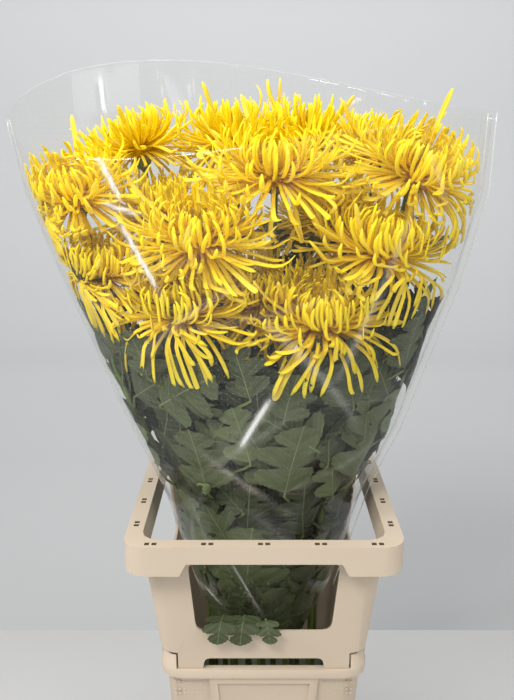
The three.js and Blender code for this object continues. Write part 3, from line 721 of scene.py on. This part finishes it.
def wall_leaf(skin, owner, angle, z, depth, length, lean, tilt, rng):
    """A blade that lies along the film."""
    at_x, at_y, _ = sleeve_at(np.array(float(z)))
    hypotenuse = math.hypot(at_x * math.sin(angle), at_y * math.cos(angle))
    widen = rng.uniform(0.88, 1.08)
    waves = phases(rng)
    arch = rng.uniform(1.0, 4.0)
    roll, hollow = rng.normal(0, 0.24), rng.uniform(0.02, 0.26)
    pressed = 1.8 + 1.8 * rng.rand()

    def place(u, v, height):
        side, up = u * length, v * length
        level = z + up * math.cos(lean) * 0.95 - side * math.sin(lean)
        around = (up * math.sin(lean) + side * math.cos(lean)) / hypotenuse
        wave = np.maximum(ripple(u, v, waves), -0.02) * length * 0.55
        inward = depth + tilt * v + arch * np.sin(math.pi * np.clip(v, 0, 1)) + wave
        inward = inward + hollow * np.abs(side) + roll * side
        # Near the film a blade is pressed flat, and never through it.
        room = PRESSED_FROM - pressed
        flat = pressed + room * np.exp((np.minimum(inward, PRESSED_FROM) - PRESSED_FROM) / room)
        return on_sleeve(angle + around, level, np.where(inward > PRESSED_FROM, inward, flat) - height)

    # Painted shade: blades deep in the bunch, and blades high up under the heads, are drawn darker.
    light = 0.4 * rng.rand() if depth > INNER_DEPTH else 0.4 + 0.6 * rng.rand()
    if z > UPPER_HEIGHT:
        light *= 0.5
    add_blade(skin, place, FINE_GRID, widen, light)
    base = place(np.array(0.0), np.array(0.01), 0.0)
    add_stalk(skin, at_height(owner, z - STALK_DROP), base, rng.rand())


def free_leaf(skin, owner, z, turn, length, rise, rng):
    """A blade that grows out of its stem inside the bunch."""
    start = at_height(owner, z)
    out = np.array([math.cos(turn), math.sin(turn), 0.0])
    side = np.array([-math.sin(turn), math.cos(turn), 0.0])
    roll = rng.normal(0, 0.35)
    droop = rng.uniform(0.3, 1.1)
    stalk = length * 0.22
    first = start + stalk * (out * math.cos(rise) + np.array([0, 0, 1]) * math.sin(rise))
    t = np.linspace(0, 1, 17)
    heading = rise - droop * t
    step = np.stack([np.cos(heading), np.sin(heading)], -1) * length / 16
    run = np.vstack([[0, 0], np.cumsum(step, 0)[:-1]])
    fold = rng.uniform(0.1, 0.35)
    waves = phases(rng)
    leaf_side = side * math.cos(roll) + np.array([0, 0, 1]) * math.sin(roll)

    def place(u, v, height):
        along = np.interp(v, t, run[:, 0])
        lift = np.interp(v, t, run[:, 1])
        head = np.interp(v, t, heading)
        normal = -np.sin(head)[..., None] * out + np.cos(head)[..., None] * np.array([0, 0, 1])
        rise_by = (fold * np.abs(u) + ripple(u, v, waves)) * length + height
        points = (
            first
            + along[..., None] * out
            + lift[..., None] * np.array([0, 0, 1])
            + (u * length)[..., None] * leaf_side
            + rise_by[..., None] * normal
        )
        return inside_film(points, 7.0 - height)

    add_blade(skin, place, ROUGH_GRID, rng.uniform(0.85, 1.05), rng.rand() * 0.8)
    add_stalk(skin, start, first, rng.rand(), 1.2)


# Leaves over the sill: sideways place, length, lean, how far down, and how far out.
SPILL_LEAVES = [
    (-42, 42, -0.14, -2, 0.2),
    (-20, 46, -0.1, 1, 3.4),
    (-30, 34, 0.2, -9, 6.0),
    (2, 31, 0.16, -2, 1.0),
]
SPILL_STEM, SPILL_START = 13, 240


def spill_leaf(skin, x, length, lean, drop, layer, rng):
    """A blade that hangs out over the sill, along a path of depths and heights."""
    path = [[-92, 268], [-112, 288], [-132, 300], [-146, 300], [-152, 290], [-153, 276 - drop]]
    path = np.array(path, float)
    apart = np.concatenate([[0], np.cumsum(np.linalg.norm(np.diff(path, axis=0), axis=1))])
    waves = phases(rng)

    def on_path(s):
        return np.stack([0 * s, np.interp(s, apart, path[:, 0]), np.interp(s, apart, path[:, 1])], -1)

    def place(u, v, height):
        s = apart[-1] - length * (1 - v)
        ahead = unit(on_path(s + 2) - on_path(s - 2))
        point = on_path(s)
        point[..., 0] = x + u * length * 1.05 + lean * v * length
        bulge = np.maximum(ripple(u, v, waves), -0.01) * 0.9 - 0.10 * np.abs(u)
        lift = bulge * length + layer * v + (1.32 * layer - 3.6) * u + height + 0.8
        return point - np.maximum(lift, 0.3 + height)[..., None] * np.cross(ahead, [1.0, 0, 0])

    add_blade(skin, place, FINE_GRID, 0.95, 0.3 + 0.3 * rng.rand(), 0.6)
    base = place(np.array(0.0), np.array(0.01), 0.0)
    add_stalk(skin, at_height(SPILL_STEM, SPILL_START), base, 0.5)


# Buds: middle, the way ahead, and size.
BUDS = [
    ([-34, -117, 497], [0.15, -0.9, 0.45], 5.6),
    ([-58, -111, 432], [0.95, -0.35, 0.05], 5.0),
]
BUD_STEM = 12


def add_bud(skin, centre, ahead, size):
    """A closed green bud on a bent stalk."""
    centre, ahead = np.array(centre, float), unit(ahead)
    start = at_height(BUD_STEM, centre[2] - 60)
    base = centre - ahead * size * 0.8
    bends = start, start + [0, 0, 45], base - ahead * 26 + [0, 0, 8], base
    line = inside_film(bezier(*bends, 12), 4.0)
    add_tube(skin, line, np.linspace(1.9, 1.4, 12), 7, (0.3, -1.0, 0.9))
    first = unit(np.cross(ahead, [0.2, 0.1, 1]))
    second = np.cross(ahead, first)
    arc = 2.75 * np.linspace(0, 1, 6)
    radii = size * np.array([0.2, 0.27, 0.27, 0.23, 0.17, 0.08])
    for row, (count, lean, reach) in enumerate([(10, 1.0, 1.0), (9, 0.82, 1.06), (7, 0.5, 1.12)]):
        for k in range(count):
            turn = (k + 0.5 * row) / count * TURN
            out = first * math.cos(turn) + second * math.sin(turn)
            swing = np.outer(np.sin(arc) * size * lean, out)
            climb = np.outer((1 - np.cos(arc)) * size * 0.62 * reach, ahead)
            add_tube(skin, base + swing + climb, radii, 6, (0.02, 0.4, 1.0))


def leaf_top(angle, back, more):
    """How high leaves reach: less at the front, where the heads hang lower."""
    return back + more * min(1, 1 + math.sin(angle))


# More blades: height and count. Low ones: height, count and depth. Front ones: count, height and steps up.
MORE_ROWS = [
    (276, 10), (318, 11), (340, 12), (384, 12), (404, 13),
    (446, 13), (466, 14), (508, 14), (528, 14), (566, 12),
]
LOW_ROWS = [
    (352, 10, 3.0), (338, 10, 10.0), (322, 12, 16.0), (372, 9, 24.0),
    (304, 12, 5.0), (310, 12, 12.0), (318, 9, 22.0),
]
FRONT_LEAVES, FRONT_HEIGHT, FRONT_STEP = 44, 290, 9
FRONT_DEPTHS = [2.5, 9.0, 16.0, 5.5]
LOWEST = 244


def leaf_plan():
    """The blades along the film: the solid part's ones, a little smaller, then more between them."""
    draw = drawer(4711)
    wanted = []
    for row, (z, count, depth) in enumerate(LEAF_RINGS):
        for k in range(count):
            angle = (k + 0.5 * (row % 2) + 0.14 * (draw() - 0.5)) / count * TURN
            lean = math.radians(24 * (draw() - 0.5))
            grown = LEAF_LENGTH * (0.9 + 0.2 * draw()) * (0.68 + 0.12 * (k % 3))
            length = min(grown, leaf_top(angle, 586, 62) - z)
            if length > 45:
                wanted.append((angle, z, depth, length, lean, 0.0))
    rng = seeded(41)
    for row, (z, count) in enumerate(MORE_ROWS):
        for k in range(count):
            angle = (k + 0.5 * (row % 2) + 0.5 * (rng.rand() - 0.5) + 0.25) / count * TURN
            length = min(rng.uniform(54, 92), leaf_top(angle, 590, 66) - z)
            if length > 36:
                depth = rng.choice([4.0, 8.0, 14.0, 24.0])
                start, lean = z + rng.uniform(-12, 12), rng.normal(0, 0.75)
                wanted.append((angle, start, depth, length, lean, rng.uniform(-4, 18)))
    # Low leaves hang down to the foot of the film.
    for z, count, depth in LOW_ROWS:
        for k in range(count):
            angle = (k + 0.6 * (rng.rand() - 0.5) + 0.37 * (count - 8)) / count * TURN
            length = min(rng.uniform(50, 74), (z - LOWEST) / 0.95)
            start, lean = z + rng.uniform(-4, 4), math.pi + rng.normal(0, 0.4)
            wanted.append((angle, start, depth, length, lean, 0.0))
    # The front ones reach below the film, behind the window.
    half = FRONT_LEAVES // 2
    for k in range(FRONT_LEAVES):
        angle = math.radians(196 + 148 * (k % half + 0.5 + 0.25 * (k // half)) / half)
        z = FRONT_HEIGHT + FRONT_STEP * (k % 4) + rng.uniform(-4, 4)
        length, lean = rng.uniform(44, 62), math.pi + rng.normal(0, 0.35)
        wanted.append((angle, z, FRONT_DEPTHS[k % 4], length, lean, -4.0))
    return wanted


CUP_PROFILE = [(3.2, -3), (4.5, 0), (9.0, 3), (11.6, 7), (12.0, 11.6), (10, 11.8)]
FULL_TURN, LEAF_TURN = 6.3, 2.4


def make_stem(index, leaves):
    """A stem with the green cup under its head, its leaves along the film and its free ones."""
    rng = seeded(60 + index)
    skin = Skin()
    line = LINES[index]
    add_tube(skin, line, np.full(len(line), STEM_RADIUS), 9, (0.3, -1.0, rng.rand()))
    _, axis, side, other, _ = head_frame(index)
    out = circle(18, side, other)
    lathe_faces(skin, [line[-1] + axis * h + out * r for r, h in CUP_PROFILE], (0.3, -1.0, 0.4))
    for leaf in leaves:
        wall_leaf(skin, index, *leaf, rng)
    for low in (262, 276):
        z, turn = low + 8 * rng.rand(), rng.rand() * FULL_TURN
        free_leaf(skin, index, z, turn, rng.uniform(46, 62), rng.uniform(-0.6, 0.9), rng)
    z, turn = 292 + 20 * rng.rand(), rng.rand() * FULL_TURN
    while z < line[-1][2] - 78:
        free_leaf(skin, index, z, turn, rng.uniform(56, 84), rng.uniform(0.5, 1.1), rng)
        z += rng.uniform(34, 46)
        turn += LEAF_TURN
    if index == SPILL_STEM:
        for spill in SPILL_LEAVES:
            spill_leaf(skin, *spill, rng)
    if index == BUD_STEM:
        for bud in BUDS:
            add_bud(skin, *bud)
    settle(skin.make(numbered("leafy_stem", index), LEAF, 50), "leaf", numbered("stem", index))


def make_stems():
    """Each blade along the film grows from the stem that passes nearest."""
    plan = [[] for _ in HEADS]
    for leaf in leaf_plan():
        angle, z, depth = leaf[:3]
        base = on_sleeve(np.array(angle), np.array(float(z)), depth)
        gaps = [np.linalg.norm(at_height(i, z - STALK_DROP) - base) for i in range(len(HEADS))]
        plan[int(np.argmin(gaps))].append(leaf)
    for index, leaves in enumerate(plan):
        make_stem(index, leaves)


# Film


def rim_at(angle):
    return RIM_MEAN + RIM_BACK * np.sin(angle) + RIM_WAVE * np.cos(2 * (angle - RIM_TURN))


# Sharp folds of the film at its front and top: angle and height, direction, half length,
# reach across, height of the fold, and strength of its painted white highlight. Angles and directions are in
# degrees.
FOLDS = [
    (237, 750, 108, 24, 7, -4.0, 1.0),
    (239, 721, 164, 16, 6, 3.0, 0.8),
    (240, 676, 106, 36, 6, -4.0, 1.0),
    (267, 510, 64, 33, 6, -3.0, 0.9),
    (258, 308, 116, 46, 6, -1.6, 0.4),
    (228, 284, 153, 14, 5, 1.6, 0.8),
    (134, 824, 86, 30, 6, -3.5, 0.35),
    (115, 836, 80, 38, 7, -4.0, 0.3),
    (105, 833, 82, 41, 6, 3.0, 0.3),
    (60, 826, 149, 14, 6, -3.0, 0.8),
    (319, 730, 120, 52, 6, -3.0, 0.12),
    (246, 610, 40, 60, 9, -2.6, 0),
    (300, 450, 20, 60, 9, -2.6, 0),
    (262, 440, 140, 50, 8, -2.4, 0.1),
    (303, 640, 75, 90, 8, -2.6, 0.1),
    (288, 560, 128, 70, 9, -2.4, 0.05),
]
SOFT_CREASES = 46


def film_creases():
    """Soft creases without a painted highlight, then the sharp folds, as in FOLDS but in radians."""
    rng = seeded(12)
    made = []
    for _ in range(SOFT_CREASES):
        angle, height = rng.uniform(0, TURN), rng.uniform(300, 820)
        direction, half = rng.uniform(0, math.pi), rng.uniform(30, 110)
        reach, tall = rng.uniform(5, 12), rng.uniform(-2.6, 1.2)
        made.append((angle, height, direction, half, reach, tall, 0))
    for angle, height, direction, *rest in FOLDS:
        made.append((math.radians(angle), height, math.radians(direction), *rest))
    return made


def film_relief(turn, z):
    """How far the film is pushed out at each place, and how creased it is there, with painted highlights
    along the sharp folds.
    """
    grow = np.clip((z - 300) / 500, 0, 1)
    push = grow * (1.1 * np.sin(17 * turn + 0.004 * z) + 0.8 * np.sin(29 * turn + 2 - 0.006 * z))
    push += 0.9 * np.sin(0.019 * z + 4 * np.sin(3 * turn)) * np.sin(5 * turn + 0.01 * z)
    x, y, _ = sleeve_at(z)
    radius = np.hypot(x * np.cos(turn), y * np.sin(turn))
    crease = np.zeros_like(z)
    for a, h, direction, half, reach, tall, painted_glint in film_creases():
        away = ((turn - a + math.pi) % (TURN) - math.pi) * radius
        along = away * math.cos(direction) + (z - h) * math.sin(direction)
        across = -away * math.sin(direction) + (z - h) * math.cos(direction)
        ends = np.exp(-((along / half) ** 4))
        push += tall * (np.exp(-np.abs(across) / reach) * ends)
        crease = np.maximum(crease, abs(tall) / 4 * np.exp(-np.abs(across) / 2.2) * ends)
        if painted_glint:
            line = (PAINTED_GLINT_FROM + painted_glint) * np.exp(-((across / 3.2) ** 2))
            crease = np.maximum(crease, line * np.exp(-((along / half) ** 6)))
    room = np.interp(z, [268, 560, 620, 880], [1.4, 2.0, 3.4, 4.0])
    return np.clip(push, -room, 2.2), crease


# Welded seams: angle, and how far they stand out. Their parts from root to tip: two bright edges, which are
# painted highlights.
SEAMS = [(math.radians(-13), 8.0), (math.radians(186), 1.5)]
SEAM_PARTS = [(0, 0.13, 1.3), (0.13, 0.87, 0.1), (0.87, 1, 1.3)]
SEAM_ROWS = 60


def add_seam(skin, a, reach):
    """A thin strip that stands out from the film."""
    z = np.linspace(272, float(rim_at(np.array(a))) - 1, SEAM_ROWS)
    root = on_sleeve(a + 0 * z, z, 2.0)
    out = unit(np.array([math.cos(a), 0.35 * math.sin(a), 0]))
    flat = np.array([-out[1], out[0], 0])
    wave = (0.8 * np.sin(z * 0.05) + 0.5 * np.sin(z * 0.13))[:, None] * flat
    tip = root + out * (reach + 2.0) + wave
    ends = [[3, 2, 1, 0], [(SEAM_ROWS - 1) * 4 + n for n in range(4)]]
    for low, high, shade in SEAM_PARTS:
        ring = []
        for f, s in ((low, -1), (high, -1), (high, 1), (low, 1)):
            ring.append(root + (tip - root) * f + flat * 0.15 * s)
        points = np.stack(ring, 1).reshape(-1, 3)
        skin.add(points, np.vstack([belts(SEAM_ROWS, 4), ends]), (), (0.0, 0.0, shade))


FILM_COLUMNS, FILM_ROWS, FILM_FOOT = 300, 120, 268
OUTER_SKIN, INNER_SKIN = 0.9, 0.6
# Turns the marks' angle into millimetres.
FILM_RADIUS = 180


def make_sleeve():
    """A closed shell of two skins that join at the foot and at the rim."""
    angle = np.arange(FILM_COLUMNS) / FILM_COLUMNS * TURN
    share = np.linspace(0, 1, FILM_ROWS)
    low = FILM_FOOT + 3 * np.sin(3 * angle + 1)
    z = low[:, None] + (rim_at(angle) - low)[:, None] * share[None, :]
    turn = angle[:, None] + 0 * z
    push, crease = film_relief(turn, z)
    outer = on_sleeve(turn, z, -push - OUTER_SKIN)
    inner = on_sleeve(turn, z, -push - INNER_SKIN)
    points = np.concatenate([outer.reshape(-1, 3), inner.reshape(-1, 3)])
    count = FILM_COLUMNS * FILM_ROWS
    i = np.arange(FILM_COLUMNS)[:, None] * FILM_ROWS
    nexti = np.roll(i, -1, axis=0)
    j = np.arange(FILM_ROWS - 1)[None, :]
    wall = np.stack([i + j, nexti + j, nexti + j + 1, i + j + 1], -1).reshape(-1, 4)
    i, nexti = i[:, 0], nexti[:, 0]
    foot = np.stack([nexti, i, i + count, nexti + count], -1)
    i, nexti = i + FILM_ROWS - 1, nexti + FILM_ROWS - 1
    top = np.stack([i, nexti, nexti + count, i + count], -1)
    marks = np.stack([(turn * FILM_RADIUS).ravel(), z.ravel(), crease.ravel()], -1)
    skin = Skin()
    skin.add(points, np.vstack([wall, wall[:, ::-1] + count, foot, top]), (), np.vstack([marks, marks]))
    for seam in SEAMS:
        add_seam(skin, *seam)
    settle(skin.make("film", FILM), "film", "sleeve")


# Bucket and collar


def softened(node, name, width):
    """A copy of a solid with flat faces joined up and its sharp edges rounded."""
    mesh = NODES[node].data.copy()
    mesh.name = name
    work = bmesh.new()
    work.from_mesh(mesh)
    bmesh.ops.remove_doubles(work, verts=work.verts, dist=1e-6)
    bmesh.ops.dissolve_limit(work, angle_limit=math.radians(0.6), verts=work.verts, edges=work.edges)
    edges = [
        e
        for e in work.edges
        if len(e.link_faces) == 2 and e.calc_face_angle(0) > math.radians(38) and e.calc_length() > 0.0004
    ]
    rounding = {"offset": width, "segments": 2, "profile": 0.6, "affect": "EDGES", "clamp_overlap": True}
    bmesh.ops.bevel(work, geom=edges, **rounding)
    bmesh.ops.triangulate(work, faces=[f for f in work.faces if len(f.verts) > 4])
    work.to_mesh(mesh)
    work.free()
    mesh.shade_smooth()
    mesh.set_sharp_from_angle(angle=math.radians(36))
    mesh.materials.clear()
    mesh.materials.append(CRATE)
    thing = bpy.data.objects.new(name, mesh)
    bpy.context.scene.collection.objects.link(thing)
    return thing


def box_points(low, high):
    (a, b, c), (d, e, f) = low, high
    points = [(a, b, c), (d, b, c), (d, e, c), (a, e, c), (a, b, f), (d, b, f), (d, e, f), (a, e, f)]
    quads = [(0, 3, 2, 1), (4, 5, 6, 7), (0, 1, 5, 4), (1, 2, 6, 5), (2, 3, 7, 6), (3, 0, 4, 7)]
    return points, quads


def applied(thing, change):
    with bpy.context.temp_override(object=thing, active_object=thing, selected_objects=[thing]):
        bpy.ops.object.modifier_apply(modifier=change.name)


def pierced(thing, boxes):
    """Cuts small boxes out of a piece."""
    skin = Skin()
    for low, high in boxes:
        skin.add(*box_points(low, high))
    cutter = skin.make("cutter", DRAIN_PAINTED_SHADE)
    change = thing.modifiers.new("holes", "BOOLEAN")
    change.operation = "DIFFERENCE"
    change.solver = "EXACT"
    # The cut walls take the cutter's dark material, painted shade inside the holes.
    change.material_mode = "TRANSFER"
    change.object = cutter
    bpy.context.view_layer.update()
    applied(thing, change)
    bpy.data.objects.remove(cutter)
    thing.data.shade_smooth()
    thing.data.set_sharp_from_angle(angle=math.radians(32))
    even = thing.modifiers.new("even", "WEIGHTED_NORMAL")
    even.keep_sharp = True
    applied(thing, even)


# Drain holes: half sizes along and across the rim, foot, top, and half the distance of a pair.
HOLE_ALONG, HOLE_ACROSS, HOLE_FOOT, HOLE_TOP, HOLE_PAIR = 2.4, 2.6, 391, 399, 3.6
# The rim's middle line, and the distance between pairs, along x and along y.
RIM_X, RIM_Y, PAIR_STEP_X, PAIR_STEP_Y = 131.5, 161.5, 56, 58
ROUNDING = 0.0011


def hole(x, y, half_x, half_y):
    return (x - half_x, y - half_y, HOLE_FOOT), (x + half_x, y + half_y, HOLE_TOP)


def make_collar():
    """The collar, with pairs of drain holes along its rim, their walls painted dark as shade."""
    collar = softened("collar", "crate_collar", ROUNDING)
    pairs = [(k, away) for k in range(-2, 3) for away in (-HOLE_PAIR, HOLE_PAIR)]
    boxes = []
    for side in (-1, 1):
        for k, away in pairs:
            boxes.append(hole(PAIR_STEP_X * k + away, side * RIM_Y, HOLE_ALONG, HOLE_ACROSS))
        for k, away in pairs:
            boxes.append(hole(side * RIM_X, PAIR_STEP_Y * k + away, HOLE_ACROSS, HOLE_ALONG))
    pierced(collar, boxes)
    settle(collar, "crate", "collar")


def make_bucket():
    """The bucket, with rows of raised dots on its relief pads."""
    bucket = softened("bucket", "crate_bucket", ROUNDING)
    skin = Skin()
    front = [0, 1, 4, 5]
    for side in (-1, 1):
        for z in (227, 222, 212, 207):
            for k in range(7):
                x = side * (66 + 4.6 * k)
                y = -(120 + 14 * z / 240)
                points, quads = box_points((x - 1.5, y - 0.8, z - 0.8), (x + 1.5, y + 0.6, z + 0.8))
                points = np.array(points, float)
                points[front, 0] += 0.5 * np.sign(x - points[front, 0])
                points[[0, 1], 2] += 0.3
                points[[4, 5], 2] -= 0.3
                skin.add(points, quads)
    both = [bucket, skin.make("dots", CRATE)]
    with bpy.context.temp_override(
        object=bucket, active_object=bucket, selected_objects=both, selected_editable_objects=both
    ):
        bpy.ops.object.join()
    settle(bucket, "crate", "bucket")


# Stage


# Way back and up along the sweep in metres, and its grey there: painted light and shade, darker near the deck
# and lighter up the wall.
PAINTED_GREYS = [(0.35, 0.37), (1.1, 0.45), (1.9, 0.58), (2.8, 0.63), (3.9, 0.75), (4.3, 0.8)]
GREYS_REACH = 5.0


def deck_material():
    mat, node = shader("deck")
    darker = (0.68 * 0.97, 0.675 * 0.97, 0.665 * 0.97, 1)
    base = mixed(node, noise(node, 1.5, 2.0), darker, (0.68, 0.675, 0.665, 1))
    return finished(mat, node, coat(node, base, 0.7, 0.2))


def sweep_material():
    """Its grey changes along the run of the sweep, back and then up: painted light and shade that grows
    lighter up the wall.
    """
    mat, node = shader("sweep")
    parts = node("SeparateXYZ", Vector=node("TexCoord").outputs["Object"])
    way = calc(node, "ADD", parts.outputs["Y"], parts.outputs["Z"])
    colour = node("ValToRGB", Fac=calc(node, "DIVIDE", way, GREYS_REACH))
    points = colour.color_ramp.elements
    while len(points) < len(PAINTED_GREYS):
        points.new(0.5)
    for point, (place, _) in zip(points, PAINTED_GREYS):
        point.position = place / GREYS_REACH
    for point, (_, grey) in zip(points, PAINTED_GREYS):
        point.color = (grey * 0.99, grey, grey * 1.01, 1)
    return finished(mat, node, coat(node, colour.outputs[0], 0.9, 0.2))


# The deck's half width and far edge, the sweep's half width and thickness, and its bend.
DECK_HALF, DECK_EDGE = 3000, 318
SWEEP_HALF, SWEEP_THICK = 5200, 30.0
BEND_START, BEND_RADIUS, WALL_HEIGHT = 2100, 900, 4200


def make_stage():
    """A light deck, and behind it a grey sweep that bends up into a wall."""
    skin = Skin()
    skin.add(*box_points((-DECK_HALF, -DECK_HALF, -2), (DECK_HALF, DECK_EDGE, 0)))
    deck = skin.make("deck", deck_material())
    run = [(DECK_EDGE, -3)]
    for a in np.linspace(0, math.pi / 2, 14):
        run.append((BEND_START + BEND_RADIUS * math.sin(a), BEND_RADIUS - 3 - BEND_RADIUS * math.cos(a)))
    run.append((BEND_START + BEND_RADIUS, WALL_HEIGHT))
    points = np.array([[(-SWEEP_HALF, y, z), (SWEEP_HALF, y, z)] for y, z in run], float).reshape(-1, 3)
    behind = points + np.array([0, SWEEP_THICK, -SWEEP_THICK])
    n = len(points)
    r = np.arange(len(run) - 1) * 2
    faces = np.stack([r, r + 1, r + 3, r + 2], -1)
    left = np.stack([r, r + 2, r + 2 + n, r + n], -1)
    right = np.stack([r + 3, r + 1, r + 1 + n, r + 3 + n], -1)
    ends = [[1, 0, n, n + 1], [n - 2, n - 1, 2 * n - 1, 2 * n - 2]]
    skin = Skin()
    skin.add(np.vstack([points, behind]), np.vstack([faces, faces[:, ::-1] + n, left, right, ends]))
    skin.make("sweep", sweep_material(), sharp=40)


def area(name, place, aim, width, tall, power, colour=(1, 1, 1)):
    data = bpy.data.lights.new(name, "AREA")
    data.shape = "RECTANGLE"
    data.size, data.size_y = width, tall
    data.energy = power
    data.color = colour
    lamp = bpy.data.objects.new(name, data)
    lamp.location = place
    ahead = np.array(aim, float) - np.array(place, float)
    lamp.rotation_euler = Vector(ahead).to_track_quat("-Z", "Y").to_euler()
    bpy.context.scene.collection.objects.link(lamp)
    return lamp


def make_lights():
    world = bpy.data.worlds.new("studio")
    bpy.context.scene.world = world
    world.use_nodes = True
    back = world.node_tree.nodes["Background"]
    back.inputs["Color"].default_value = (0.86, 0.87, 0.88, 1)
    back.inputs["Strength"].default_value = 0.66
    area("key", (-0.9, -1.5, 2.3), (0, 0, 0.55), 1.0, 0.7, 44, (1, 0.985, 0.96))
    area("fill", (1.7, -1.2, 1.5), (0, 0, 0.5), 1.2, 1.2, 14)
    area("top", (0.1, 0.4, 2.6), (0, 0, 0.5), 1.6, 1.2, 28)
    area("strip", (-1.3, -0.5, 1.35), (-0.1, 0, 0.7), 0.12, 0.9, 10)


# In pixels: focal length, height of the picture, and the horizon above the picture's middle.
FOCAL, PICTURE, HORIZON = 850, 700, 210
FILM_GATE = 36


def make_camera():
    data = bpy.data.cameras.new("view")
    data.sensor_fit = "VERTICAL"
    data.sensor_height = FILM_GATE
    data.lens = FOCAL / PICTURE * FILM_GATE
    data.clip_start = 0.02
    camera = bpy.data.objects.new("view", data)
    camera.location = (-0.007, -0.928, 0.782)
    camera.rotation_euler = (math.pi / 2 - math.atan(HORIZON / FOCAL), 0, 0)
    bpy.context.scene.collection.objects.link(camera)
    bpy.context.scene.camera = camera
    bpy.context.scene.view_settings.view_transform = "Standard"


for index in range(len(HEADS)):
    make_bloom(index)
    make_eye(index)
make_stems()
make_sleeve()
make_collar()
make_bucket()
NODES["water"].data.materials.clear()
NODES["water"].data.materials.append(WATER)
make_stage()
make_lights()
make_camera()
